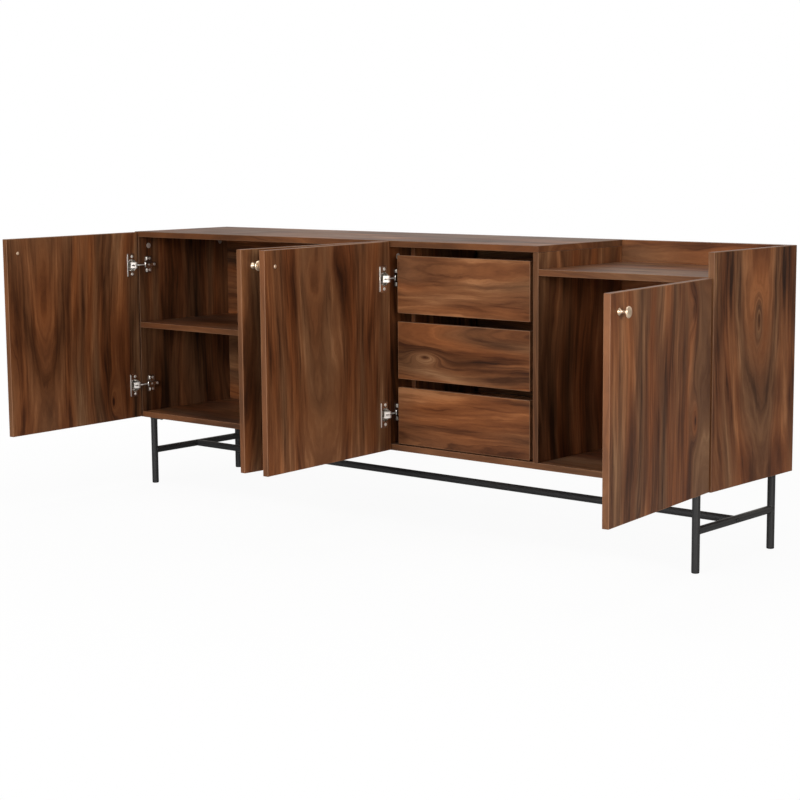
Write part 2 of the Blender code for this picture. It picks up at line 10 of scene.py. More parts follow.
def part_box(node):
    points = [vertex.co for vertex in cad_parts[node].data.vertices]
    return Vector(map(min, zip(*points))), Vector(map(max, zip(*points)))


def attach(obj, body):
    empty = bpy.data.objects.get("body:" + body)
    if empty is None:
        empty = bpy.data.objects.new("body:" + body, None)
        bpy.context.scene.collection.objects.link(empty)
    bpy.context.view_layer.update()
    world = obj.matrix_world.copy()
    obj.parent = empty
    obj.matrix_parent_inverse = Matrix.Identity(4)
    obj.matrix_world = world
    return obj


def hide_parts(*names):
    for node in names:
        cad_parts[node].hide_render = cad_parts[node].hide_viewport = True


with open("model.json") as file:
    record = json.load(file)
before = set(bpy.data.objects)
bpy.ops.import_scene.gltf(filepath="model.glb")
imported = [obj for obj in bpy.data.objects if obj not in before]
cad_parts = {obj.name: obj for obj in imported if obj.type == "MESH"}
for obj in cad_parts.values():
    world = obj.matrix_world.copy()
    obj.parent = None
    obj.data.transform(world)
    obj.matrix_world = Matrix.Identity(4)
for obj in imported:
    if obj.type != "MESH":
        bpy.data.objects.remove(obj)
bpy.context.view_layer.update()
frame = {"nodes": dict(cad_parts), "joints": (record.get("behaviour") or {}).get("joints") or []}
NODES = frame["nodes"]
JOINTS = {joint["child"]: joint for joint in frame["joints"]}

# %% [markdown]
# ## The camera
#
# The photographer stood about five metres away, well to the right of the cabinet, with a long lens held nearly
# level. The place, the angles and the lens were fitted to the corners of the boards, so the picture's straight
# lines fall where the photograph has them.
# %% Camera
PHOTO_SIZE = 800              # pixels a side
FOCAL_PIXELS = 1846.0
SENSOR = 36.0                 # mm
CAMERA_PLACE = Vector((3.8630, -3.3863, 0.9255))
AROUND, ABOVE, ROLL = (math.radians(degrees) for degrees in (41.09, 7.81, -0.45))


def photo_camera():
    camera = bpy.data.objects.new("photo_camera", bpy.data.cameras.new("photo_camera"))
    bpy.context.scene.collection.objects.link(camera)
    camera.data.sensor_width = SENSOR
    camera.data.lens = FOCAL_PIXELS * SENSOR / PHOTO_SIZE
    backward = Vector((math.sin(AROUND) * math.cos(ABOVE), -math.cos(AROUND) * math.cos(ABOVE), math.sin(ABOVE)))
    level = Vector((math.cos(AROUND), math.sin(AROUND), 0.0))
    upright = backward.cross(level)
    right = math.cos(ROLL) * level + math.sin(ROLL) * upright
    up = math.cos(ROLL) * upright - math.sin(ROLL) * level
    turn = Matrix((right, up, backward)).transposed().to_4x4()
    camera.matrix_world = Matrix.Translation(CAMERA_PLACE) @ turn
    return camera


bpy.context.scene.camera = photo_camera()
print("lens", round(bpy.context.scene.camera.data.lens, 1), "mm")

# %% [markdown]
# ## Helpers for nodes
#
# Every finish below is a tree of nodes. Small helpers keep the trees readable: one adds a node and fills in or
# links its inputs by name, and the others are short for the nodes that come up most, such as Math and Noise.
# %% Node helpers


def add_node(tree, kind, inputs=(), **settings):
    """Adds a node. An input's value is a plain value, or a socket to link from."""
    node = tree.nodes.new(kind)
    for key, value in settings.items():
        setattr(node, key, value)
    for key, value in dict(inputs).items():
        if isinstance(value, bpy.types.NodeSocket):
            tree.links.new(value, node.inputs[key])
        else:
            node.inputs[key].default_value = value
    return node


def maths(tree, operation, *values, clamp=False):
    node = add_node(tree, "ShaderNodeMath", dict(enumerate(values)), operation=operation)
    node.use_clamp = clamp
    return node.outputs[0]


def vector_maths(tree, operation, *values):
    node = add_node(tree, "ShaderNodeVectorMath", dict(enumerate(values)), operation=operation)
    return node.outputs[1] if operation in ("LENGTH", "DOT_PRODUCT") else node.outputs[0]


def remapped(tree, value, low, high, new_low=0.0, new_high=1.0):
    node = add_node(tree, "ShaderNodeMapRange", {"Value": value, "From Min": low, "From Max": high,
                                                 "To Min": new_low, "To Max": new_high})
    return node.outputs["Result"]


def noise(tree, place, detail=2.0, roughness=0.5):
    node = add_node(tree, "ShaderNodeTexNoise", {"Vector": place, "Scale": 1.0, "Detail": detail,
                                                 "Roughness": roughness})
    return node.outputs["Fac"]


def colour_ramp(tree, value, stops):
    node = add_node(tree, "ShaderNodeValToRGB", {"Fac": value})
    ramp = node.color_ramp
    while len(ramp.elements) < len(stops):
        ramp.elements.new(0.5)
    for element, (place, colour) in zip(ramp.elements, stops):
        element.position = place
        element.color = (*colour, 1.0)
    return node.outputs["Color"]


def mixed_colour(tree, blend, factor, first, second):
    node = add_node(tree, "ShaderNodeMix", {0: factor, 6: first, 7: second}, data_type="RGBA", blend_type=blend)
    return node.outputs[2]


def shader_group(name, inputs, outputs):
    """An empty node group with named sockets, and its input and output nodes."""
    tree = bpy.data.node_groups.new(name, "ShaderNodeTree")
    for way, sockets in (("INPUT", inputs), ("OUTPUT", outputs)):
        for socket_name, kind in sockets.items():
            tree.interface.new_socket(socket_name, in_out=way, socket_type="NodeSocket" + kind)
    return tree, tree.nodes.new("NodeGroupInput").outputs, tree.nodes.new("NodeGroupOutput").inputs


def new_material(name, **principled):
    """A material, its tree and its Principled shader with plain values set on its own sockets."""
    material = bpy.data.materials.new(name)
    material.use_nodes = True
    tree = material.node_tree
    shader = tree.nodes["Principled BSDF"]
    for key, value in principled.items():
        shader.inputs[key.replace("_", " ")].default_value = value
    return material, tree, shader


print("node helpers ready")

# %% [markdown]
# ## Noise along the growth rings, and knots
#
# A printed walnut face copies a board sawn from a log, so the grain is made the way a log makes it. What changes
# across the log is drawn by noise on the ring distance, which is how far a point is from the pith. It is stretched
# along the board, because a tree grows longer than it grows thick. A knot is where a branch left the trunk: the
# rings bend round it and its heart is dark. Small ones are scattered by a Voronoi texture, with most of its cells
# left empty, and one may be placed where the photograph shows it.
# %% Ring noise and knots
KNOT_CELLS = (4.2, 10.0, 4.0)       # places for a small knot per metre along, across and through the board
SMALL_KNOT_REACH, SMALL_HEART = 0.42, (0.15, 0.04)    # in cells
KNOT_SHAPE = (1 / 0.030, 1 / 0.010, 0.0)    # a placed knot is longer along the grain
KNOT_REACH, HEART = 3.2, (0.62, 0.20)       # in its own sizes


def centred(tree, place, *shape):
    """Noise from -0.5 to 0.5."""
    return maths(tree, "SUBTRACT", noise(tree, place, *shape), 0.5)


def ring_noise(tree, ring, along, seed, rings, length, detail=2.0, roughness=0.5):
    """Noise that follows the growth rings, with so many features a metre across them and along the board."""
    place = add_node(tree, "ShaderNodeCombineXYZ", {
        "X": maths(tree, "MULTIPLY", ring, rings), "Y": maths(tree, "MULTIPLY", along, length),
        "Z": maths(tree, "ADD", seed, rings)}).outputs[0]
    return noise(tree, place, detail, roughness)


def add_knot(tree, place, at):
    """One knot at a place on the face: how far it bends the rings, and its dark heart."""
    flat = vector_maths(tree, "MULTIPLY", vector_maths(tree, "SUBTRACT", place, at), KNOT_SHAPE)
    away = vector_maths(tree, "LENGTH", flat)
    near = remapped(tree, away, KNOT_REACH, 0.0)
    return maths(tree, "POWER", near, 2.0), remapped(tree, away, *HEART)


def add_small_knots(tree, place, share):
    """Sparse spots, long along the grain: how far the rings bend, and how dark the middle is."""
    cells = add_node(tree, "ShaderNodeTexVoronoi", {
        "Vector": vector_maths(tree, "MULTIPLY", place, KNOT_CELLS), "Scale": 1.0})
    lot = add_node(tree, "ShaderNodeSeparateColor", {"Color": cells.outputs["Color"]}).outputs[0]
    chosen = maths(tree, "LESS_THAN", lot, share)
    near = remapped(tree, cells.outputs["Distance"], SMALL_KNOT_REACH, 0.0)
    heart = remapped(tree, cells.outputs["Distance"], *SMALL_HEART)
    return (maths(tree, "MULTIPLY", maths(tree, "POWER", near, 2.0), chosen),
            maths(tree, "MULTIPLY", heart, chosen))


print("a placed knot bends the rings for", round(KNOT_REACH / KNOT_SHAPE[0] * 1000), "mm along the grain")

# %% [markdown]
# ## Walnut grain
#
# The distance of a point from the pith, bent by slow wandering and by the knots, gives the growth rings. Where the
# face cuts the rings at a low angle they open into arches, and elsewhere they close into straight streaks. Three
# layers of noise on it draw the clouds, the bands and the fine lines, a fourth draws thin dark rings in patches,
# and a fifth drifts the colour between reddish and greenish. Short dark dashes are the pores. A picture of real
# veneer would repeat from board to board, and this never does. The group's place input has X along the grain, Y
# across the face and Z through the board.
# %% Grain group
WANDERING = (1.3, 5.0, 5.0)         # slow waves per metre along, across and through the board
RIPPLES = (9.0, 30.0, 14.0)         # quick waves per metre
WANDER_BEND, RIPPLE_BEND = 0.110, 0.013     # metres that the waves bend the rings
KNOT_BEND, PLACED_KNOT_BEND = 0.026, 0.050  # metres that a knot bends them
RING_LAYERS = {               # per metre of ring distance and along the board, detail, roughness, low and high
    "clouds": (17.0, 2.4, 2.0, 0.50, 0.32, 0.68),
    "bands": (50.0, 3.0, 2.0, 0.70, 0.30, 0.70),
    "streaks": (210.0, 7.0, 3.0, 0.60, 0.32, 0.68),
}
CLOUD_SHARE, BAND_SHARE, STREAK_SHARE = 0.46, 0.54, 0.33     # how far each one lightens the wood
DARKEST = -0.165              # where they start from
DARK_RINGS, RING_WIDTH = (46.0, 1.4, 1.0), (0.022, 0.004)    # thin dark rings
RING_PATCHES, PATCH_EDGE = (3.0, 11.0, 5.0), (0.50, 0.62)    # where they show
RING_SHARE, HEART_SHARE, PULL_SHARE = -0.16, -0.45, -0.16    # how far rings and knots darken the wood
HUES = (24.0, 1.8, 1.0)       # reddish and greenish bands
HUE_STOPS = ((0.34, (1.13, 0.94, 0.68)), (0.66, (0.93, 1.08, 1.08)))
PORES, PORE_EDGE = (60.0, 1500.0, 1500.0), (0.62, 0.72)      # per metre
PORE_COLOUR, PORE_SHARE = (0.45, 0.42, 0.42, 1.0), 0.5
ROUGH, STREAK_GLOSS = 0.45, -0.10
SEED_STEP = (7.31, 3.17, 5.53)      # metres between the boards' places in the noise, for each unit of seed
WALNUT_STOPS = (
    (0.00, (0.022, 0.0075, 0.0036)),
    (0.25, (0.072, 0.0255, 0.0108)),
    (0.50, (0.136, 0.0510, 0.0225)),
    (0.76, (0.205, 0.0830, 0.0375)),
    (1.00, (0.315, 0.1420, 0.0690)),
)


def squared(tree, value):
    return maths(tree, "POWER", maths(tree, "ABSOLUTE", value), 2.0)


def make_grain_group():
    tree, given, result = shader_group(
        "walnut grain",
        {"Place": "Vector", "Seed": "Float", "Pith across": "Float", "Pith depth": "Float", "Lean": "Float",
         "Knots": "Float", "Knot at": "Vector", "Boldness": "Float", "Tone": "Float"},
        {"Colour": "Color", "Height": "Float", "Roughness": "Float"},
    )
    seed = given["Seed"]
    start = add_node(tree, "ShaderNodeVectorMath", {0: SEED_STEP, "Scale": seed}, operation="SCALE")
    place = vector_maths(tree, "ADD", given["Place"], start.outputs[0])
    wander = centred(tree, vector_maths(tree, "MULTIPLY", place, WANDERING), 1.0)
    ripple = centred(tree, vector_maths(tree, "MULTIPLY", place, RIPPLES), 3.0, 0.6)
    pull, heart = add_small_knots(tree, place, given["Knots"])
    big_pull, big_heart = add_knot(tree, given["Place"], given["Knot at"])

    sides = add_node(tree, "ShaderNodeSeparateXYZ", {"Vector": given["Place"]}).outputs
    across = maths(tree, "SUBTRACT", sides["Y"], given["Pith across"])
    deep = maths(tree, "MULTIPLY_ADD", sides["X"], given["Lean"], maths(tree, "ADD", sides["Z"], given["Pith depth"]))
    ring = maths(tree, "SQRT", maths(tree, "ADD", squared(tree, across), squared(tree, deep)))
    for wave, bend in ((wander, WANDER_BEND), (ripple, RIPPLE_BEND), (pull, KNOT_BEND), (big_pull, PLACED_KNOT_BEND)):
        ring = maths(tree, "MULTIPLY_ADD", wave, bend, ring)

    along = add_node(tree, "ShaderNodeSeparateXYZ", {"Vector": place}).outputs["X"]
    clouds, bands, streaks = (
        remapped(tree, ring_noise(tree, ring, along, seed, *shape), low, high)
        for *shape, low, high in RING_LAYERS.values())
    level = maths(tree, "SUBTRACT", ring_noise(tree, ring, along, seed, *DARK_RINGS), 0.5)
    patches = remapped(tree, noise(tree, vector_maths(tree, "MULTIPLY", place, RING_PATCHES), 1.0), *PATCH_EDGE)
    rings = maths(tree, "MULTIPLY", remapped(tree, maths(tree, "ABSOLUTE", level), *RING_WIDTH), patches)
    pores = remapped(tree, noise(tree, vector_maths(tree, "MULTIPLY", place, PORES), 1.0), *PORE_EDGE)

    broad = maths(tree, "MULTIPLY_ADD", bands, BAND_SHARE, maths(tree, "MULTIPLY", clouds, CLOUD_SHARE))
    value = maths(tree, "MULTIPLY_ADD", maths(tree, "SUBTRACT", broad, 0.5), given["Boldness"], 0.5 + DARKEST)
    hearts = maths(tree, "MAXIMUM", heart, big_heart)
    for layer, share in ((streaks, STREAK_SHARE), (rings, RING_SHARE), (hearts, HEART_SHARE), (pull, PULL_SHARE)):
        value = maths(tree, "MULTIPLY_ADD", layer, share, value)
    value = maths(tree, "ADD", value, given["Tone"], clamp=True)
    wood = colour_ramp(tree, value, WALNUT_STOPS)
    drift = ring_noise(tree, ring, along, seed, *HUES)
    wood = mixed_colour(tree, "MULTIPLY", 1.0, wood, colour_ramp(tree, drift, HUE_STOPS))
    wood = mixed_colour(tree, "MULTIPLY", maths(tree, "MULTIPLY", pores, PORE_SHARE), wood, PORE_COLOUR)
    tree.links.new(wood, result["Colour"])
    fine = maths(tree, "SUBTRACT", maths(tree, "MULTIPLY", streaks, 0.5), pores)
    tree.links.new(fine, result["Height"])
    tree.links.new(maths(tree, "MULTIPLY_ADD", streaks, STREAK_GLOSS, ROUGH), result["Roughness"])
    return tree


GRAIN = make_grain_group()
print(GRAIN.name, "has", len(GRAIN.nodes), "nodes")

# %% [markdown]
# ## Edge bands
#
# The cut edges of the boards are covered with a plastic band about a millimetre thick. The band is a little paler
# than the face. A fine pale line round the face, where the eased corners would catch the light, is a painted
# highlight. Thin strips could be modelled for the band, but a mask needs no faces and fits every board. One group
# measures how far a point is from the edges of its board, and puts out the band and the painted corner highlight as
# two masks.
# %% Edge group
BAND = 0.0015                 # thickness of the edge band
BAND_FADE = 0.6               # share of it where the band is at its full colour


def make_band_group():
    tree, given, result = shader_group("edge band", {"Place": "Vector", "Half": "Vector", "Band": "Float"},
                                       {"Edge": "Float", "Corner": "Float"})
    inside = vector_maths(tree, "SUBTRACT", given["Half"], vector_maths(tree, "ABSOLUTE", given["Place"]))
    parts = add_node(tree, "ShaderNodeSeparateXYZ", {"Vector": inside}).outputs
    sharp = maths(tree, "MULTIPLY", given["Band"], BAND_FADE)
    edge = remapped(tree, maths(tree, "MINIMUM", parts["X"], parts["Y"]), given["Band"], sharp)
    tree.links.new(edge, result["Edge"])
    # The corner mask is a painted highlight: a pale line where the band meets the face.
    tree.links.new(maths(tree, "MULTIPLY", edge, remapped(tree, parts["Z"], given["Band"], sharp)), result["Corner"])
    return tree


BAND_LINE = make_band_group()
print(BAND_LINE.name, "of", BAND * 1000, "mm")

# %% [markdown]
# ## Dust and wipe marks
#
# Nothing in a room is quite clean. A thin, cloudy dust lies on what faces up, and cloths have left faint marks that
# change the gloss a little. Every finish uses this group, and each one says how much dust it takes.
# %% Dust group
DUST_CLOUDS, DUST_EDGE = (6.0, 6.0, 6.0), (0.35, 0.75)       # per metre
FACING_UP = (0.2, 1.0)        # the normal's Z where dust starts to lie, and where it lies thickest
WIPE_MARKS, WIPED = (14.0, 9.0, 18.0), 0.10                  # per metre, and the change of roughness


def make_dust_group():
    """Fine dust and faint wipe marks, more on what faces up."""
    tree, given, result = shader_group("dust", {"Place": "Vector", "Normal": "Vector", "Amount": "Float"},
                                       {"Mask": "Float", "Smudge": "Float"})
    up = add_node(tree, "ShaderNodeSeparateXYZ", {"Vector": given["Normal"]}).outputs["Z"]
    settled = remapped(tree, up, *FACING_UP)
    cloud = remapped(tree, noise(tree, vector_maths(tree, "MULTIPLY", given["Place"], DUST_CLOUDS), 3.0), *DUST_EDGE)
    mask = maths(tree, "MULTIPLY", maths(tree, "MULTIPLY", cloud, settled), given["Amount"])
    tree.links.new(mask, result["Mask"])
    wipes = noise(tree, vector_maths(tree, "MULTIPLY", given["Place"], WIPE_MARKS), 2.0)
    tree.links.new(maths(tree, "MULTIPLY_ADD", wipes, WIPED, -WIPED / 2), result["Smudge"])
    return tree


DUST = make_dust_group()
print("groups:", [group.name for group in bpy.data.node_groups])

# %% [markdown]
# ## One finish for each board
#
# Each board is its own piece of print, so each gets its own material: the same groups with another seed, another
# place for the pith and another tone. One material for all would run the same print on from board to board, as if
# the cabinet were carved from one log. A Mapping node turns the object's coordinates into the board's own, with
# the board's middle at zero, the grain along X and the thickness along Z. A door stands open, so its coordinates
# are turned by the angle of its hinge.
# %% Board finish
DUST_COLOUR = (0.55, 0.52, 0.48, 1.0)
BOARD_DUST = 0.05
BOARD_SPECULAR = 0.22
BOARD_BUMP, BUMP_DEEP = 0.18, 0.0002
BAND_LAYERS = (               # mask, share and colour
    ("Edge", 0.42, (0.190, 0.084, 0.039)),
    # The corner layer paints a highlight line round each face.
    ("Corner", 0.60, (0.300, 0.148, 0.076)),
)
NO_KNOT = (9.0, 9.0, 0.0)     # a place far off the board
UNLIMITED = 5.0               # keeps the line of an edge band off that edge


def board_finish(name, turn, middle, half, banded_ends, seed, pith, tone=0.0, knots=0.07, knot_at=NO_KNOT,
                 band_tone=1.0, boldness=1.0):
    """A walnut print for one board. Knots is the share of places that have a small one."""
    material, tree, shader = new_material(name, Specular_IOR_Level=BOARD_SPECULAR)
    spots = add_node(tree, "ShaderNodeTexCoord").outputs
    place = add_node(tree, "ShaderNodeMapping", {
        "Vector": spots["Object"], "Location": tuple(middle), "Rotation": tuple(turn.to_euler())},
        vector_type="TEXTURE").outputs[0]
    across, depth, lean = pith
    grain = add_node(tree, "ShaderNodeGroup", {
        "Place": place, "Seed": seed, "Pith across": across, "Pith depth": depth, "Lean": lean, "Knots": knots,
        "Knot at": knot_at, "Boldness": boldness, "Tone": tone}, node_tree=GRAIN)
    reach = half if banded_ends else Vector((UNLIMITED, half.y, half.z))
    band = add_node(tree, "ShaderNodeGroup", {"Place": place, "Half": reach, "Band": BAND}, node_tree=BAND_LINE)
    dust = add_node(tree, "ShaderNodeGroup", {"Place": place, "Normal": spots["Normal"], "Amount": BOARD_DUST},
                    node_tree=DUST)
    edged = grain.outputs["Colour"]
    for mask, share, colour in BAND_LAYERS:
        pale = tuple(part * band_tone for part in colour)
        edged = mixed_colour(tree, "MIX", maths(tree, "MULTIPLY", band.outputs[mask], share), edged, (*pale, 1.0))
    dusty = mixed_colour(tree, "MIX", dust.outputs["Mask"], edged, DUST_COLOUR)
    tree.links.new(dusty, shader.inputs["Base Color"])
    rough = maths(tree, "ADD", grain.outputs["Roughness"], dust.outputs["Smudge"])
    tree.links.new(rough, shader.inputs["Roughness"])
    bump = add_node(tree, "ShaderNodeBump", {
        "Strength": BOARD_BUMP, "Distance": BUMP_DEEP, "Height": grain.outputs["Height"]})
    tree.links.new(bump.outputs["Normal"], shader.inputs["Normal"])
    return material


print("each board gets", len(BAND_LAYERS), "pale edges and its own draw of", GRAIN.name)

# %% [markdown]
# ## Which way the grain runs
#
# On this sideboard the grain stands upright on the doors, the sides and the dividers, lies along the length on
# the top, the shelves, the back and the drawer fronts, and runs from front to back on the drawer sides. The
# tables below say that for every board, with the direction of its thickness. A third one lists the boards whose
# print stands out in the photograph: lighter, darker or bolder than the rest, or with a knot. The left side's
# darker tone is partly its own print and partly painted shade, for the dark inside of its cupboard.
# %% Grain directions
CARCASS = {                   # grain, thickness, band round the ends
    "top_panel": ("x", "z", True),
    "bottom_panel": ("x", "z", False),
    "left_side_panel": ("z", "x", False),
    "right_side_panel": ("z", "x", True),
    "left_divider": ("z", "x", False),
    "right_divider": ("z", "x", False),
    "cupboard_shelf": ("x", "z", False),
    "tray_shelf": ("x", "z", False),
    "tray_back_rail": ("x", "y", False),
    "back_panel": ("x", "y", False),
    "runner_packer": ("z", "x", False),
}
DRAWER_BOARDS = {
    "front": ("x", "y", True),
    "left_side": ("y", "x", False),
    "right_side": ("y", "x", False),
    "back": ("x", "y", False),
    "bottom": ("x", "z", False),
}
DRAWERS = ("lower_drawer", "middle_drawer", "upper_drawer")
DOORS = ("left_door", "middle_door", "drawer_door", "right_door")
SPECIAL = {                   # a lighter, darker or bolder print, and a knot's place from the middle
    "top_panel": {"band_tone": 0.60},
    "tray_back_rail": {"tone": -0.06},
    # Darker partly for its own print and partly as painted shade inside the left cupboard.
    "left_side_panel": {"tone": -0.13},
    "cupboard_shelf": {"tone": -0.05},
    "left_door_panel": {"knot_at": (-0.204, 0.125, 0.0)},
    "drawer_door_panel": {"tone": 0.04},
    "right_door_panel": {"knot_at": (-0.066, -0.157, 0.0), "tone": 0.06},
    "right_side_panel": {"knot_at": (0.099, -0.014, 0.0), "tone": 0.05, "boldness": 1.3},
    "middle_drawer_front": {"knot_at": (-0.115, 0.012, 0.0)},
}
print("boards:", len(CARCASS) + len(DOORS) + len(DRAWERS) * len(DRAWER_BOARDS), "of which", len(SPECIAL), "stand out")

# %% [markdown]
# ## Dress the boards
#
# A board's middle and half size are measured on its solid, along its own grain and thickness. Where the pith of
# its log lies, how it leans and the seed of its noise are drawn at random, because nobody chooses them for a real
# board either. The draws start from a fixed number and keep their order, so every run gives the same figure.
# %% Dress the boards
AXES = {"x": Vector((1, 0, 0)), "y": Vector((0, 1, 0)), "z": Vector((0, 0, 1))}
LUCK = random.Random(7)
PITH_ACROSS = (-1.1, 1.1)     # half widths from the board's middle
PITH_DEEP = (0.030, 0.10)     # metres behind the face
PITH_LEAN = (-0.045, 0.045)   # metres deeper for each metre along the board
SEEDS = (0.0, 9.0)
CARCASS_BAND = 0.75           # the carcass's edge bands are darker than the doors'
# Painted light: the drawer fronts are printed lighter, as brightly lit as they are when pulled out of the shade under
# the top.
FRONT_PAINTED_LIGHT = 0.06


def local_box(points, turn):
    """Middle and half size of some points, measured along the columns of a turn."""
    inward = turn.transposed()
    local = [inward @ point for point in points]
    low = Vector(tuple(min(point[i] for point in local) for i in range(3)))
    high = Vector(tuple(max(point[i] for point in local) for i in range(3)))
    return turn @ ((low + high) / 2), (high - low) / 2


def board_turn(along, through):
    """The turn whose columns are the grain, the way across it and the thickness."""
    across = through.cross(along)
    return Matrix((along, across, through)).transposed()


def door_turn(door):
    """How far the door has swung from shut, as a rotation about its hinge."""
    joint = JOINTS[door]
    opened = -joint["range_deg"][0] * joint["axis"][2]
    return Matrix.Rotation(math.radians(opened), 3, "Z")


def dress(node, along, through, banded_ends, **choices):
    """Gives a board its own finish, in place of the material that its solid came with."""
    turn = board_turn(along, through)
    choices = {**choices, **SPECIAL.get(node, {})}
    points = [vertex.co for vertex in NODES[node].data.vertices]
    middle, half = local_box(points, turn)
    pith = (LUCK.uniform(*PITH_ACROSS) * half.y, LUCK.uniform(*PITH_DEEP), LUCK.uniform(*PITH_LEAN))
    seed = LUCK.uniform(*SEEDS)
    finish = board_finish(node + "_walnut", turn, middle, half, banded_ends, seed, pith, **choices)
    NODES[node].data.materials.clear()
    NODES[node].data.materials.append(finish)


for board_name, (grain_way, thick_way, ends) in CARCASS.items():
    dress(board_name, AXES[grain_way], AXES[thick_way], ends, band_tone=CARCASS_BAND)
for door_name in DOORS:
    dress(door_name + "_panel", AXES["z"], door_turn(door_name) @ -AXES["y"], True)
for drawer_name in DRAWERS:
    for board_name, (grain_way, thick_way, ends) in DRAWER_BOARDS.items():
        # Only the fronts get this painted light; the other drawer boards keep their tone.
        lighter = FRONT_PAINTED_LIGHT if board_name == "front" else 0.0
        dress(drawer_name + "_" + board_name, AXES[grain_way], AXES[thick_way], ends, tone=lighter)
print("boards dressed:", sum("walnut" in material.name for material in bpy.data.materials))

# %% [markdown]
# ## Steel, brass, nickel and plastic
#
# The base is powder coated: a satin black with the faint orange peel of melted powder. The knobs are satin brass,
# kept pale and partly diffuse so that their faces carry a painted shine. The hinges are nickel plated pressings,
# some of their parts brushed to a satin whose near-white, partly diffuse colour paints the bright highlight on
# them. The cams and the hinge arms' screws are dull zinc. The runners are dark coated strip, and their rollers
# are nylon. One function makes all of them, because they differ only in colour, gloss and how coarse the surface is.
# %% Metal and plastic finishes
CLOUDS = (40.0, 40.0, 40.0)   # clouds of colour and gloss per metre
GLOSS_SPREAD = 0.06
CLOUD_DARK = 0.82             # the darker clouds' share of the colour


def coated(name, colour, roughness, peel, peel_size=900.0, metallic=0.0, dusty=0.10):
    """A finish with cloudy colour and gloss, an orange peel with so many dimples a metre, and dust."""
    material, tree, shader = new_material(name, Metallic=metallic)
    spots = add_node(tree, "ShaderNodeTexCoord").outputs
    cloud = noise(tree, vector_maths(tree, "MULTIPLY", spots["Object"], CLOUDS), 3.0)
    dust = add_node(tree, "ShaderNodeGroup", {"Place": spots["Object"], "Normal": spots["Normal"], "Amount": dusty},
                    node_tree=DUST)
    darker = tuple(part * CLOUD_DARK for part in colour)
    shade = mixed_colour(tree, "MIX", cloud, (*darker, 1.0), (*colour, 1.0))
    tree.links.new(mixed_colour(tree, "MIX", dust.outputs["Mask"], shade, DUST_COLOUR), shader.inputs["Base Color"])
    rough = maths(tree, "MULTIPLY_ADD", cloud, GLOSS_SPREAD, roughness - GLOSS_SPREAD / 2)
    tree.links.new(maths(tree, "ADD", rough, dust.outputs["Smudge"]), shader.inputs["Roughness"])
    dimples = noise(tree, vector_maths(tree, "MULTIPLY", spots["Object"], (peel_size,) * 3), 2.0)
    bump = add_node(tree, "ShaderNodeBump", {"Strength": peel, "Distance": BUMP_DEEP, "Height": dimples})
    tree.links.new(bump.outputs["Normal"], shader.inputs["Normal"])
    return material


BLACK = coated("black_powder_coat", (0.026, 0.026, 0.027), 0.34, peel=0.35, peel_size=700.0, dusty=0.06)
RUNNER_COAT = coated("brown_runner_coat", (0.030, 0.020, 0.016), 0.42, peel=0.15)
# The brass is only partly metallic and pale, so its faces show a painted shine besides their real gloss.
BRASS_PAINTED_SHINE = coated("satin_brass", (0.96, 0.74, 0.53), 0.30, peel=0.04, peel_size=2600.0, metallic=0.75, dusty=0.02)
NICKEL = coated("nickel_plate", (0.76, 0.72, 0.67), 0.22, peel=0.05, metallic=1.0, dusty=0.03)
# The satin nickel is near white and partly diffuse: a painted highlight on the hinge parts besides their real satin.
SATIN_PAINTED_HIGHLIGHT = coated("satin_nickel", (0.93, 0.88, 0.82), 0.34, peel=0.05, metallic=0.55, dusty=0.0)
ZINC = coated("zinc_fitting", (0.54, 0.45, 0.40), 0.42, peel=0.2, metallic=0.5, dusty=0.06)
NYLON = coated("nylon_roller", (0.62, 0.60, 0.55), 0.38, peel=0.1)
RUBBER = coated("black_foot_plug", (0.012, 0.012, 0.012), 0.62, peel=0.3)
METALS = (BLACK, RUNNER_COAT, BRASS_PAINTED_SHINE, NICKEL, SATIN_PAINTED_HIGHLIGHT, ZINC, NYLON, RUBBER)
print("metal and plastic finishes:", [finish.name for finish in METALS])

# %% [markdown]
# ## Tools for small metal parts
#
# Most small parts are turned, stamped or folded. A turned part is a profile carried round an axis, a stamping is
# an outline given a thickness, and a folded strip is a path with round bends. All three are a row of closed rings
# with skin between them, so one loft makes them, and each part's own function only lists its rings.
# %% Lofts
SHARP = math.radians(35)      # edges flatter than this are shaded smooth
ROUND = 32                    # sides of a turned part
BEND_STEPS = 4                # faces in the bend of a folded strip


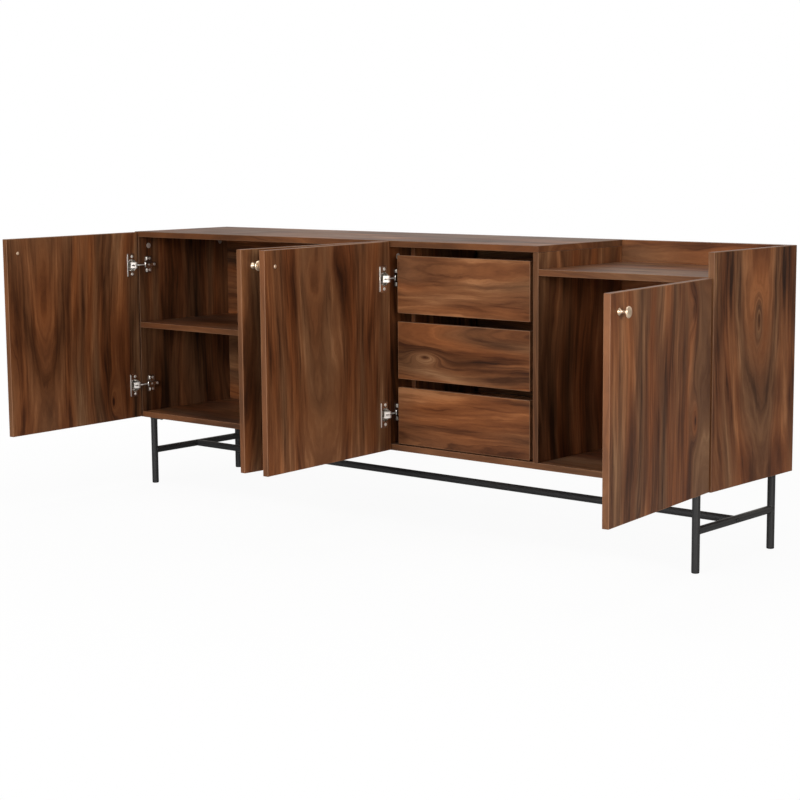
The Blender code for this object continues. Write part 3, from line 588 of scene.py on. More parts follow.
class Shape:
    """A mesh made of closed lofts, with one or more finishes."""

    def __init__(self, *finishes):
        self.bm = bmesh.new()
        self.finishes = finishes

    def loft(self, rings, place=Matrix(), finish=0):
        """Skins a row of rings, which have equally many points, and closes both ends."""
        loops = [[self.bm.verts.new(place @ Vector(point)) for point in ring] for ring in rings]
        faces = [self.bm.faces.new(loops[0]), self.bm.faces.new(loops[-1])]
        for first, second in zip(loops, loops[1:]):
            for i, corner in enumerate(first):
                faces.append(self.bm.faces.new((first[i - 1], corner, second[i], second[i - 1])))
        for face in faces:
            face.material_index = finish
        bmesh.ops.recalc_face_normals(self.bm, faces=faces)
        return faces

    def turned(self, profile, place=Matrix(), finish=0, sides=ROUND):
        """A profile of radius and height, turned about Z."""
        self.loft([circle(radius, height, sides) for radius, height in profile], place, finish)

    def stamped(self, outline, low, high, place=Matrix(), finish=0, ease=0.0, steps=2):
        """An outline in X and Y from one height to another, with its edges eased."""
        faces = self.loft([[(x, y, z) for x, y in outline] for z in (low, high)], place, finish)
        if ease:
            edges = {edge for face in faces for edge in face.edges if edge.calc_face_angle(0.0) > SHARP}
            bmesh.ops.bevel(self.bm, geom=list(edges), offset=ease, segments=steps, profile=0.5, affect="EDGES",
                            clamp_overlap=True, material=finish)

    def sort(self):
        """Orders the mesh by place, because a bevel leaves its points and faces in another order on each run."""
        points = {point: i for i, point in enumerate(sorted(self.bm.verts, key=lambda point: tuple(point.co)))}
        corners = {face: sorted(points[point] for point in face.verts) for face in self.bm.faces}
        faces = {face: i for i, face in enumerate(sorted(self.bm.faces, key=corners.get))}
        self.bm.verts.sort(key=points.get)
        self.bm.faces.sort(key=faces.get)

    def piece(self, name, body, slot, *replaced):
        """Puts the shape in the scene on its body."""
        self.sort()
        mesh = bpy.data.meshes.new(name)
        self.bm.to_mesh(mesh)
        self.bm.free()
        for finish in self.finishes:
            mesh.materials.append(finish)
        return place_piece(name, mesh, body, slot, *replaced)


def place_piece(name, mesh, body, slot, *replaced):
    mesh.shade_smooth()
    mesh.set_sharp_from_angle(angle=SHARP)
    thing = bpy.data.objects.new(name, mesh)
    bpy.context.scene.collection.objects.link(thing)
    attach(thing, body)
    if replaced:
        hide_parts(*replaced)
    return thing


print("shapes are shaded smooth up to", round(math.degrees(SHARP)), "degrees")

# %% [markdown]
# ## Outlines
#
# A loft needs rings of points, so each shape that comes up more than once gets a small function that lists its
# ring: a circle, a box with round corners, a strip folded along a path, and the cross of a screwdriver. The cross
# has as many points as the circle round it, one for each direction, so the two loft into a recess.
# %% Outlines
TINY = 1e-6                   # keeps a division from failing


def circle(radius, height, sides=ROUND, middle=(0.0, 0.0)):
    turns = [math.tau * i / sides for i in range(sides)]
    return [(middle[0] + radius * math.cos(turn), middle[1] + radius * math.sin(turn), height) for turn in turns]


def rounded_box(low_x, high_x, low_y, high_y, radius, steps=4):
    """The outline of a rectangle with round corners."""
    points = []
    corners = ((high_x, high_y, 0), (low_x, high_y, 90), (low_x, low_y, 180), (high_x, low_y, 270))
    for x, y, start in corners:
        centre_x = x - math.copysign(radius, x - (low_x + high_x) / 2)
        centre_y = y - math.copysign(radius, y - (low_y + high_y) / 2)
        for step in range(steps + 1):
            turn = math.radians(start + 90 * step / steps)
            points.append((centre_x + radius * math.cos(turn), centre_y + radius * math.sin(turn)))
    return points


def folded_strip(path, thickness, bend):
    """The outline of a strip folded along a path, with round bends. The path is the strip's middle."""
    path = [Vector(point) for point in path]
    middle, normals = [], []
    for i, point in enumerate(path):
        before = (point - path[i - 1]).normalized() if i else None
        after = (path[i + 1] - point).normalized() if i + 1 < len(path) else None
        if before is None or after is None:
            way = after or before
            middle.append(point)
            normals.append(Vector((-way.y, way.x)))
            continue
        start, end = Vector((-before.y, before.x)), Vector((-after.y, after.x))
        turn = start.angle_signed(end)
        side = -math.copysign(1.0, turn)
        reach = bend * math.tan(abs(turn) / 2)
        centre = point - before * reach + start * bend * side
        for step in range(BEND_STEPS + 1):
            normal = start.copy()
            normal.rotate(Matrix.Rotation(-turn * step / BEND_STEPS, 2))
            middle.append(centre - normal * bend * side)
            normals.append(normal)
    half = thickness / 2
    left = [tuple(point + normal * half) for point, normal in zip(middle, normals)]
    right = [tuple(point - normal * half) for point, normal in zip(middle, normals)]
    return left + right[::-1]


def cross(length, width, height, sides):
    """A cross as a ring of points, so that it lofts to a circle."""
    ring = []
    for i in range(sides):
        turn = math.tau * i / sides
        nearest = turn - round(turn / (math.pi / 2)) * math.pi / 2
        radius = min(length / math.cos(nearest), width / max(abs(math.sin(nearest)), TINY))
        ring.append((radius * math.cos(turn), radius * math.sin(turn), height))
    return ring


print("a round corner has", len(rounded_box(-1.0, 1.0, -1.0, 1.0, 0.5)) // 4, "points")

# %% [markdown]
# ## Where the doors and hinges are
#
# Each door has its own axes: X runs along the door from its hinge, Y is up and Z comes out of its inner face. The
# hinge arms have theirs on the panel that carries them: X runs into the cabinet from its front edge, Y is up and
# Z comes out of the panel. Both are read from the joints and the solids.
# %% Axes of the doors and the hinge arms
CAD_GAP = 0.0003              # between two solids that touch
CABINET_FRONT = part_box("bottom_panel")[0].y


def cad_box(node, place):
    """The extents of a CAD node along the axes of a place."""
    inward = place.inverted()
    local = [inward @ vertex.co for vertex in NODES[node].data.vertices]
    return [Vector(tuple(pick(point[i] for point in local) for i in range(3))) for pick in (min, max)]


def axes_place(origin, along, up, out):
    return Matrix.Translation(origin) @ Matrix((along, up, out)).transposed().to_4x4()


def door_side(door):
    """1 for a door hinged on its left, -1 for one hinged on its right."""
    return -JOINTS[door]["axis"][2]


def door_place(door):
    """A door's axes, with the origin on its inner face beside the hinge axis, at the floor."""
    turn = door_turn(door)
    along = turn @ Vector((door_side(door), 0, 0))
    out = turn @ Vector((0, 1, 0))
    pivot = Vector((*JOINTS[door]["pos_m"][:2], 0.0))
    place = axes_place(pivot, along, AXES["z"], out)
    inner_face = cad_box(door + "_panel", place)[1].z
    return place @ Matrix.Translation((0, 0, inner_face))


def arm_place(door, level):
    """The axes of a hinge arm, with the origin on the panel's face at the cabinet's front edge."""
    side = door_side(door)
    low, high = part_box(f"{door}_{level}_arm")
    face = low.x - CAD_GAP if side > 0 else high.x + CAD_GAP
    return axes_place(Vector((face, CABINET_FRONT, (low.z + high.z) / 2)), AXES["y"], AXES["z"],
                      Vector((side, 0, 0)))


def node_middle(node, place):
    low, high = cad_box(node, place)
    return (low + high) / 2


for door_name in DOORS:
    cup = node_middle(door_name + "_upper_cup", door_place(door_name))
    print(door_name, "cup", round(cup.x * 1000, 1), "mm from the hinge axis")

# %% [markdown]
# ## Brass knobs
#
# A knob is turned on a lathe from a short brass bar. Its round foot sits on the door, a thin neck sweeps out to
# a wide head, and the head is slightly domed. Cylinders and a ball could be joined, but the sweep would show
# creases, so its profile is one row of points carried round, as on the lathe. A screw from the inside of the door
# holds it, and its cross head shows there as a small dot.
# %% Knobs
KNOB_HEAD = 0.0119            # radius
KNOB_DOME = 0.0036            # rise of the head's face
KNOB_RIM = 0.0016             # straight edge of the head
KNOB_CORNER = 0.0004
KNOB_NECK = 0.003             # radius
KNOB_FOOT = 0.0075            # radius
KNOB_FOOT_EDGE = 0.0012
KNOB_SHOULDER = 0.0010        # flat ring on the foot, round the neck's curve
KNOB_FLARE = 0.0075           # height of the foot's curve
KNOB_WAIST = 0.012            # height where the neck starts to widen
KNOB_SWEEP = 2.2              # how quickly it widens
KNOB_SIDES = 48
CURVE_STEPS = 9
KNOB_SCREW = 0.0042           # radius of the screw's head
KNOB_SCREW_HEAD = 0.0018
POLISHED_OFF = 0.0001         # what polishing takes off the face
SCREW_PROFILE = ((1.00, 0.0), (1.00, 0.40), (0.86, 0.85), (0.70, 1.00))    # shares of a screw's radius and height
RECESS = ((1.0, 1.0), (0.8, 0.5))       # the cross's share of its size, and height
RECESS_REACH, RECESS_WIDTH = 0.62, 0.15     # shares of the radius


def knob_profile(height):
    """Radius and height from the foot up to the middle of the dome."""
    head_low = height - KNOB_DOME - KNOB_RIM
    points = [(KNOB_FOOT - KNOB_CORNER, 0.0), (KNOB_FOOT, KNOB_CORNER), (KNOB_FOOT, KNOB_FOOT_EDGE - KNOB_CORNER),
              (KNOB_FOOT - KNOB_CORNER, KNOB_FOOT_EDGE)]
    for step in range(CURVE_STEPS + 1):
        share = step / CURVE_STEPS
        points.append((KNOB_NECK + (KNOB_FOOT - KNOB_SHOULDER - KNOB_NECK) * (1 - share) ** 2,
                       KNOB_FOOT_EDGE + KNOB_FLARE * share))
    for step in range(CURVE_STEPS + 1):
        share = step / CURVE_STEPS
        points.append((KNOB_NECK + (KNOB_HEAD - KNOB_CORNER - KNOB_NECK) * share ** KNOB_SWEEP,
                       KNOB_WAIST + (head_low - KNOB_WAIST) * share))
    points += [(KNOB_HEAD, head_low + KNOB_CORNER), (KNOB_HEAD, head_low + KNOB_RIM - KNOB_CORNER)]
    for step in range(CURVE_STEPS):
        turn = math.radians(90) * step / CURVE_STEPS
        points.append(((KNOB_HEAD - KNOB_CORNER) * math.cos(turn), height - KNOB_DOME * (1 - math.sin(turn))))
    return points


def add_screw(shape, place, radius, height, finish=0, sides=16):
    """A pan head with a cross recess, standing up Z."""
    head = [circle(share * radius, high * height, sides) for share, high in SCREW_PROFILE]
    reach, width = radius * RECESS_REACH, radius * RECESS_WIDTH
    recess = [cross(share * reach, share * width, high * height, sides) for share, high in RECESS]
    shape.loft(head + recess, place, finish)


def make_knob(door):
    node = door + "_knob"
    place = door_place(door)
    low, high = cad_box(node, place)
    outer_face = cad_box(door + "_panel", place)[0].z
    middle = node_middle(node, place)
    knob = Shape(BRASS_PAINTED_SHINE)
    outward = Matrix.Translation((middle.x, middle.y, outer_face)) @ Matrix.Rotation(math.pi, 4, "X")
    knob.turned(knob_profile(outer_face - low.z - POLISHED_OFF), place @ outward, sides=KNOB_SIDES)
    add_screw(knob, place @ Matrix.Translation((middle.x, middle.y, 0)), KNOB_SCREW, KNOB_SCREW_HEAD, sides=24)
    return knob.piece(node + "_turned", door, "brass", node)


for door_name in DOORS:
    print(make_knob(door_name).name)

# %% [markdown]
# ## Hinge cups
#
# A concealed hinge has a pressed steel cup that is let into a bore in the door. Its flange, two ears above and
# below the cup, lies on the door and takes two screws. Bore, flange and cup could be cut and joined with
# modifiers, but one loft does it with clean edges: its rings go up the outside of the cup, out along the flange
# and down the inside.
# %% Hinge cups
CUP_OUTER = 0.0175
CUP_INNER = 0.0162
CUP_RIM_HEIGHT = 0.0015
CUP_ROUND = 0.0008            # rounding at the foot of its wall
CUP_FLOOR = 0.0010
ABOVE_DOOR = 0.00005          # air under the flange
FINE_EASE = 0.0003            # rounding of a stamping's edges
FLANGE_ROUND = 0.0182         # the flange where it follows the cup
FLANGE_HALF = 0.0321          # half its length
FLANGE_NEAR, FLANGE_FAR = 0.0100, 0.0180    # from the cup's middle, towards the hinge axis and away from it
FLANGE_THICK = 0.0012
STRIP_WIDE, STRIP_HIGH = 0.0030, 0.0010     # the raised strip along the flange's far edge
STRIP_ROUND, STRIP_EASE = 0.0012, 0.0008
STRIP_INSET = 0.0025          # from the flange's ends
STRIP_SUNK, SCREW_SUNK = 0.0004, 0.0002     # into the flange
FLANGE_SIDES = 64
CUP_SCREW_SPACE = 0.048       # standard distance between the two screws
CUP_SCREW, CUP_SCREW_HEAD = 0.0039, 0.0016  # radius and height
PLATED, BRIGHT, DULL = 0, 1, 2              # a hinge's finishes, in the order that its shape gets them


def flange_ring(height, inset=0.0):
    """The outline of the flange round the cup's middle: a plate, and the cup where it is wider."""
    ring = []
    for i in range(FLANGE_SIDES):
        turn = math.tau * (i + 0.5) / FLANGE_SIDES
        x, y = math.cos(turn), math.sin(turn)
        to_side = (FLANGE_FAR if x > 0 else FLANGE_NEAR) / max(abs(x), TINY)
        radius = max(min(to_side, FLANGE_HALF / max(abs(y), TINY)), FLANGE_ROUND) - inset
        ring.append((radius * x, radius * y, height))
    return ring


def add_cup(shape, place, depth):
    """The cup, its flange and two screws. Z 0 is the door's inner face."""
    outside = [(CUP_OUTER - CUP_ROUND, -depth), (CUP_OUTER, CUP_ROUND - depth), (CUP_OUTER, ABOVE_DOOR)]
    flange = [flange_ring(ABOVE_DOOR), flange_ring(FLANGE_THICK - FINE_EASE), flange_ring(FLANGE_THICK, FINE_EASE)]
    inside = [(CUP_OUTER, FLANGE_THICK), (CUP_OUTER - FINE_EASE, CUP_RIM_HEIGHT),
              (CUP_INNER + FINE_EASE, CUP_RIM_HEIGHT), (CUP_INNER, FLANGE_THICK),
              (CUP_INNER, CUP_FLOOR + CUP_ROUND - depth), (CUP_INNER - CUP_ROUND, CUP_FLOOR - depth)]
    low_rings, high_rings = ([circle(*spot, FLANGE_SIDES) for spot in wall] for wall in (outside, inside))
    shape.loft(low_rings + flange + high_rings, place)
    end = FLANGE_HALF - STRIP_INSET
    strip = rounded_box(FLANGE_FAR - STRIP_WIDE, FLANGE_FAR, -end, end, STRIP_ROUND)
    shape.stamped(strip, FLANGE_THICK - STRIP_SUNK, FLANGE_THICK + STRIP_HIGH, place, BRIGHT, ease=STRIP_EASE)
    for side in (-1, 1):
        spot = Matrix.Translation((0, side * CUP_SCREW_SPACE / 2, FLANGE_THICK - SCREW_SUNK))
        add_screw(shape, place @ spot, CUP_SCREW, CUP_SCREW_HEAD, BRIGHT)


print("a flange is", round(2 * FLANGE_HALF * 1000, 1), "mm long")

# %% [markdown]
# ## Hinge links
#
# Between the cup's walls a slotted link reaches for the arm. A real link moves on several pins, and no single
# joint can follow it. Here it stays with the door, and its slot lets the arm's tongue through, so that the two
# clear each other all the way round. Its cheeks, its sloping back and its leaf are stampings and folded strips,
# as they are in the works.
# %% Hinge links
LEVELS = ("upper", "lower")
LINK_NEAR, LINK_FAR = 0.0088, 0.0235    # from the hinge axis, along the door
LINK_DEEP, LINK_LOW, LINK_HIGH = -0.006, 0.0035, 0.0125    # from the door's inner face
LINK_SHOULDER = 0.0040        # flat length of its high end
LINK_WALL = 0.0012
LINK_BEND = 0.002             # radius of its bends and of its leaf's corners
CHEEK_IN, CHEEK_OUT = 0.0065, 0.0079    # from the middle of the hinge
SLOT_HALF, SLOT_END = 0.0014, 0.0209    # the slot that the arm's tongue passes through
PIN_PLACE = (0.0035, 0.0040)  # behind the link's near edge, below its top
PIN_PROFILE = ((0.0019, -0.0002), (0.0019, 0.0004), (0.0012, 0.0008))
LEAF_NEAR, LEAF_OVERLAP = -0.001, 0.001
LEAF_LOW, LEAF_HIGH = 0.0016, 0.0019    # above the door's inner face


def add_link(shape, place):
    """The slotted link: two cheeks, a sloping back with a slot, and a flat leaf. X is from the hinge axis."""
    back = [(LINK_FAR, LINK_LOW), (LINK_NEAR + LINK_SHOULDER, LINK_HIGH), (LINK_NEAR, LINK_HIGH)]
    cheek = [(LINK_NEAR, LINK_DEEP), (LINK_FAR, LINK_DEEP), *back]
    standing = place @ Matrix.Rotation(math.radians(90), 4, "X")
    half = LINK_WALL / 2
    skin = folded_strip([(x, y - half) for x, y in back], LINK_WALL, LINK_BEND)
    share = (LINK_FAR - SLOT_END) / (back[0][0] - back[1][0])
    slot_end = (SLOT_END, LINK_LOW + share * (LINK_HIGH - LINK_LOW))
    bridge = folded_strip([(x, y - half) for x, y in (back[0], slot_end)], LINK_WALL, LINK_BEND)
    behind, below = PIN_PLACE
    for side in (-1, 1):
        shape.stamped(cheek, *sorted((side * CHEEK_IN, side * CHEEK_OUT)), standing, BRIGHT, ease=FINE_EASE)
        shape.stamped(skin, *sorted((side * SLOT_HALF, side * CHEEK_OUT)), standing, BRIGHT)
        pin = standing @ Matrix.Translation((LINK_NEAR + behind, LINK_HIGH - below, side * CHEEK_OUT))
        if side < 0:
            pin = pin @ Matrix.Rotation(math.pi, 4, "X")
        shape.turned(PIN_PROFILE, pin, PLATED, sides=12)
    shape.stamped(bridge, -SLOT_HALF - half, SLOT_HALF + half, standing, BRIGHT)
    leaf = rounded_box(LEAF_NEAR, LINK_NEAR + LEAF_OVERLAP, -CHEEK_OUT, CHEEK_OUT, LINK_BEND)
    shape.stamped(leaf, LEAF_LOW, LEAF_HIGH, place, BRIGHT)


def make_cup(door, level):
    node = f"{door}_{level}_cup"
    place = door_place(door)
    middle = node_middle(node, place)
    cup = Shape(NICKEL, SATIN_PAINTED_HIGHLIGHT)
    add_cup(cup, place @ Matrix.Translation((middle.x, middle.y, 0)), -cad_box(node, place)[0].z)
    add_link(cup, place @ Matrix.Translation((0, middle.y, 0)))
    return cup.piece(node + "_pressed", door, "nickel", node)


for door_name in DOORS:
    for level_name in LEVELS:
        make_cup(door_name, level_name)
print("hinge cups:", 2 * len(DOORS))

# %% [markdown]
# ## Hinge arms
#
# The arm is a pressed steel channel on a mounting plate, which is screwed to the side of the cabinet. In front it
# narrows to a tongue that reaches the hinge axis ahead of the panel's edge and passes through the slot of the
# link. One screw in its back sets the door's place, and another at the tail locks it. Arm, tongue and plate are
# stampings: the first two are outlines seen from the side, and the plate is an outline seen from above.
# %% Hinge arms
ARM_HALF = 0.006              # half its width
TONGUE_HALF = 0.0011          # half the width of its front, which passes through the link's slot
TONGUE_BACK = 0.0128          # where it widens, from the cabinet's front edge
NOSE_LOW, NOSE_HIGH = 0.0034, 0.0124    # nose above the panel
NOSE_TIP, NOSE_BACK = -0.0117, 0.0022   # from the cabinet's front edge
NOSE_CORNER = 0.003
TONGUE_LAP = 0.002            # how far the tongue runs into the arm
TONGUE_KNEE, TONGUE_FOOT = 0.005, 0.003     # where its underside starts to slope, and how low it gets
ARM_LOW, ARM_TOP = 0.0028, 0.0120       # above the panel
ARM_CORNER = (0.0015, 0.0020)           # cut off its front corner, along and down
ARM_FOOT = 0.021              # where it reaches down to the plate
ARM_FLAT, ARM_TAIL = 0.0505, 0.0525     # where its back starts to slope down, and its end
TAIL_DROP = 0.0030
PLATE_TOP = 0.0022
PLATE_FRONT, PLATE_BACK = 0.0205, 0.0450
PLATE_HALF = 0.0235
LIP_AT, LIP_HIGH = 0.0245, 0.0056
LIP_NEAR, LIP_FAR = 0.0115, 0.0205      # from the middle of the arm
LIP_THICK, LIP_ROUND, LIP_SUNK = 0.0018, 0.0006, 0.0005
ARM_EASE, PLATE_EASE, PLATE_ROUND = 0.0009, 0.0004, 0.004     # rounding of edges, and of the plate's corners
PLATE_SCREW = (0.0370, 0.0160)          # into the cabinet, from the middle of the arm
PLATE_SCREW_SIZE = (0.0038, 0.0018)     # radius and height
ARM_SCREWS = ((0.0265, 0.0027), (0.0462, 0.0036))    # place and radius
ARM_SCREW_HIGH = 0.0012


def tongue_outline():
    """The narrow front of the arm, as distance into the cabinet and height above the panel."""
    lap = TONGUE_BACK + TONGUE_LAP
    return [(NOSE_TIP, NOSE_LOW), (NOSE_TIP, NOSE_HIGH - NOSE_CORNER), (NOSE_TIP + NOSE_CORNER, NOSE_HIGH),
            (NOSE_BACK, NOSE_HIGH), (lap, ARM_TOP), (lap, TONGUE_FOOT), (TONGUE_KNEE, NOSE_LOW)]


def arm_outline():
    """The wide back of the arm."""
    along, down = ARM_CORNER
    return [(TONGUE_BACK, ARM_LOW), (TONGUE_BACK, ARM_TOP - down), (TONGUE_BACK + along, ARM_TOP),
            (ARM_FLAT, ARM_TOP), (ARM_TAIL, ARM_TOP - TAIL_DROP), (ARM_TAIL, PLATE_TOP), (ARM_FOOT, PLATE_TOP)]


def plate_outline():
    """The mounting plate: two wings with round corners."""
    return rounded_box(PLATE_FRONT, PLATE_BACK, -PLATE_HALF, PLATE_HALF, PLATE_ROUND)


def make_arm(door, level):
    node = f"{door}_{level}_arm"
    place = arm_place(door, level)
    arm = Shape(NICKEL, SATIN_PAINTED_HIGHLIGHT, ZINC)
    standing = place @ Matrix.Rotation(math.radians(90), 4, "X")
    arm.stamped(arm_outline(), -ARM_HALF, ARM_HALF, standing, PLATED, ease=ARM_EASE, steps=3)
    arm.stamped(tongue_outline(), -TONGUE_HALF, TONGUE_HALF, standing, BRIGHT, ease=FINE_EASE)
    arm.stamped(plate_outline(), CAD_GAP, PLATE_TOP, place, PLATED, ease=PLATE_EASE)
    screw_along, screw_across = PLATE_SCREW
    for side in (-1, 1):
        span = sorted((side * LIP_NEAR, side * LIP_FAR))
        lip = rounded_box(LIP_AT, LIP_AT + LIP_THICK, *span, LIP_ROUND, steps=2)
        arm.stamped(lip, PLATE_TOP - LIP_SUNK, LIP_HIGH, place, BRIGHT, ease=FINE_EASE)
        spot = Matrix.Translation((screw_along, side * screw_across, PLATE_TOP))
        add_screw(arm, place @ spot, *PLATE_SCREW_SIZE, DULL)
    for along, radius in ARM_SCREWS:
        add_screw(arm, place @ Matrix.Translation((along, 0, ARM_TOP)), radius, ARM_SCREW_HIGH, DULL)
    return arm.piece(node + "_folded", "cabinet", "nickel", node)


for door_name in DOORS:
    for level_name in LEVELS:
        make_arm(door_name, level_name)
print("hinge arms:", 2 * len(DOORS))

# %% [markdown]
# ## Drawer runners
#
# The drawers run on plain roller runners: a channel on the cabinet's side with a nylon roller in front, and an
# angle under the drawer's side with a roller behind. Each roller rolls in the other part, so the drawer can't
# tip while it is out. Both parts are folded from strip, so each is one folded outline carried along the drawer,
# and each goes with its own body: the channel stays while the angle slides.
# %% Runners
STRIP = 0.0012                # thickness of the strip
BEND = 0.0012                 # radius of its bends
CHANNEL_HIGH = 0.025
CHANNEL_LEDGE = 0.018
CHANNEL_LIP = 0.006
ROLLER, ROLLER_EASE = 0.0072, 0.0006
HUB_OUTER, HUB_INNER = 0.0040, 0.0036   # the dish round the pin
ROLLER_PIN, PIN_TIP = 0.0025, 0.0016
PIN_BEHIND, PIN_RIM, PIN_HEAD = 0.0010, 0.0004, 0.0009    # behind the roller, and out of its face
FRONT_ROLLER_PLACE = (0.015, 0.0090)    # behind the front end, above the ledge's underside
FRONT_ROLLER_SPAN = (0.0026, 0.0088)    # from the panel
REAR_ROLLER_PLACE = (0.012, 0.0084)     # ahead of the back end
REAR_ROLLER_SPAN = (0.0040, 0.0098)
MEMBER_NEAR, MEMBER_FAR = 0.0036, 0.0118    # the drawer's angle, from the panel
MEMBER_LOW, MEMBER_TOP = 0.0018, 0.0174
DOOR_RELIEF = 0.090           # the left angle's flange starts so far back, clear of the open door
RUNNER_SCREWS = (0.040, 0.150, 0.262)   # behind the front end
RUNNER_SCREW_SIZE = (0.0034, 0.0015)


def runner_place(node, side):
    """The axes of a runner: X away from the panel, Y up from the ledge's underside, Z to the front."""
    low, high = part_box(node)
    face = low.x - CAD_GAP if side > 0 else high.x + CAD_GAP
    return axes_place(Vector((face, low.y, low.z)), Vector((side, 0, 0)), AXES["z"], -AXES["y"])


def add_roller(shape, place, near, far):
    """A nylon roller on a riveted pin. Its axis is X."""
    axis = place @ Matrix.Rotation(math.radians(90), 4, "Y")
    shape.turned([(ROLLER - ROLLER_EASE, near), (ROLLER, near + ROLLER_EASE), (ROLLER, far - ROLLER_EASE),
                  (ROLLER - ROLLER_EASE, far), (HUB_OUTER, far), (HUB_INNER, far - ROLLER_EASE)], axis, 1, sides=24)
    pin = [(ROLLER_PIN, near - PIN_BEHIND), (ROLLER_PIN, far + PIN_RIM), (PIN_TIP, far + PIN_HEAD)]
    shape.turned(pin, axis, 0, sides=16)


def make_runner(node, side, drawer):
    place = runner_place(node, side)
    low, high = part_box(node)
    length = high.y - low.y
    channel = Shape(RUNNER_COAT, NYLON)
    web = CAD_GAP + STRIP / 2
    path = [(CHANNEL_LEDGE, STRIP / 2), (web, STRIP / 2), (web, CHANNEL_HIGH - STRIP / 2),
            (CHANNEL_LIP, CHANNEL_HIGH - STRIP / 2)]
    channel.loft([[(x, y, z) for x, y in folded_strip(path, STRIP, BEND)] for z in (-length, 0.0)], place)
    behind, above = FRONT_ROLLER_PLACE
    add_roller(channel, place @ Matrix.Translation((0, above, -behind)), *FRONT_ROLLER_SPAN)
    for behind in RUNNER_SCREWS:
        face = place @ Matrix.Translation((web + STRIP / 2, CHANNEL_HIGH / 2, -behind))
        add_screw(channel, face @ Matrix.Rotation(math.radians(90), 4, "Y"), *RUNNER_SCREW_SIZE)
    channel.piece(node + "_channel", "cabinet", "runner_steel", node)

    angle = Shape(RUNNER_COAT, NYLON)
    path = [(MEMBER_NEAR, MEMBER_TOP), (MEMBER_FAR, MEMBER_TOP), (MEMBER_FAR, MEMBER_LOW)]
    folded_from = -DOOR_RELIEF if side > 0 else 0.0
    angle.loft([[(x, y, z) for x, y in folded_strip(path, STRIP, BEND)] for z in (-length, folded_from)], place)
    if folded_from:
        strip = folded_strip([(MEMBER_FAR, MEMBER_TOP), (MEMBER_FAR, MEMBER_LOW)], STRIP, BEND)
        angle.loft([[(x, y, z) for x, y in strip] for z in (folded_from, 0.0)], place)
    ahead, above = REAR_ROLLER_PLACE
    add_roller(angle, place @ Matrix.Translation((0, above, ahead - length)), *REAR_ROLLER_SPAN)
    angle.piece(node + "_drawer_angle", drawer, "runner_steel")


for drawer_name in DRAWERS:
    level_name = drawer_name.split("_")[0]
    make_runner(level_name + "_left_runner", 1, drawer_name)
    make_runner(level_name + "_right_runner", -1, drawer_name)
print("runners:", 2 * len(DRAWERS))

# %% [markdown]
# ## Tubes along wires
#
# The base is welded from round tube. Its centre lines are drawn as wires, and Geometry Nodes gives every wire its
# tube. Cylinders could be set one by one, but a wire is only two points, and it may also be a closed curve. Each
# wire carries its own radius, so the same tree also lays the fine weld beads. A modifier's inputs are set by the
# identifiers of its sockets, and the result is made a plain mesh, because the export keeps no modifiers.
# %% Tubes along wires
TUBE_SIDES = 32


def geometry_tree(name, inputs):
    """An empty Geometry Nodes tree with extra named inputs."""
    tree = bpy.data.node_groups.new(name, "GeometryNodeTree")
    tree.interface.new_socket("Geometry", in_out="INPUT", socket_type="NodeSocketGeometry")
    for socket_name, kind in inputs.items():
        tree.interface.new_socket(socket_name, in_out="INPUT", socket_type="NodeSocket" + kind)
    tree.interface.new_socket("Geometry", in_out="OUTPUT", socket_type="NodeSocketGeometry")
    return tree, tree.nodes.new("NodeGroupInput").outputs, tree.nodes.new("NodeGroupOutput").inputs


def attribute(tree, name, kind):
    return add_node(tree, "GeometryNodeInputNamedAttribute", {"Name": name}, data_type=kind).outputs["Attribute"]


def make_tube_tree():
    tree, given, result = geometry_tree("tubes along wires", {"Sides": "Int", "Finish": "Material"})
    curve = add_node(tree, "GeometryNodeMeshToCurve", {"Mesh": given["Geometry"]}).outputs[0]
    ring = add_node(tree, "GeometryNodeCurvePrimitiveCircle", {"Resolution": given["Sides"], "Radius": 1.0})
    tube = add_node(tree, "GeometryNodeCurveToMesh", {
        "Curve": curve, "Profile Curve": ring.outputs[0], "Scale": attribute(tree, "tube_radius", "FLOAT"),
        "Fill Caps": True})
    real = add_node(tree, "GeometryNodeRealizeInstances", {"Geometry": tube.outputs[0]}).outputs[0]
    coated_tube = add_node(tree, "GeometryNodeSetMaterial", {"Geometry": real, "Material": given["Finish"]})
    tree.links.new(coated_tube.outputs[0], result[0])
    return tree


def through_nodes(mesh, tree, **values):
    """The mesh that a Geometry Nodes tree makes of another mesh."""
    thing = bpy.data.objects.new(mesh.name, mesh)
    bpy.context.scene.collection.objects.link(thing)
    modifier = thing.modifiers.new("nodes", "NODES")
    modifier.node_group = tree
    for socket in tree.interface.items_tree:
        if socket.in_out == "INPUT" and socket.name in values:
            modifier[socket.identifier] = values[socket.name]
    thing.data.update()
    bpy.context.view_layer.update()
    made = bpy.data.meshes.new_from_object(thing.evaluated_get(bpy.context.evaluated_depsgraph_get()))
    bpy.data.objects.remove(thing)
    return made


def wire_mesh(name, wires):
    """Wires of (points, radius, closed) as one mesh with a radius at each point."""
    points, edges, radii = [], [], []
    for line, radius, closed in wires:
        first = len(points)
        points += line
        radii += [radius] * len(line)
        edges += [(i, i + 1) for i in range(first, len(points) - 1)]
        if closed:
            edges.append((len(points) - 1, first))
    mesh = bpy.data.meshes.new(name)
    mesh.from_pydata(points, edges, [])
    mesh.attributes.new("tube_radius", "FLOAT", "POINT").data.foreach_set("value", radii)
    return mesh


TUBES = make_tube_tree()
print(TUBES.name, "has", len(TUBES.nodes), "nodes")

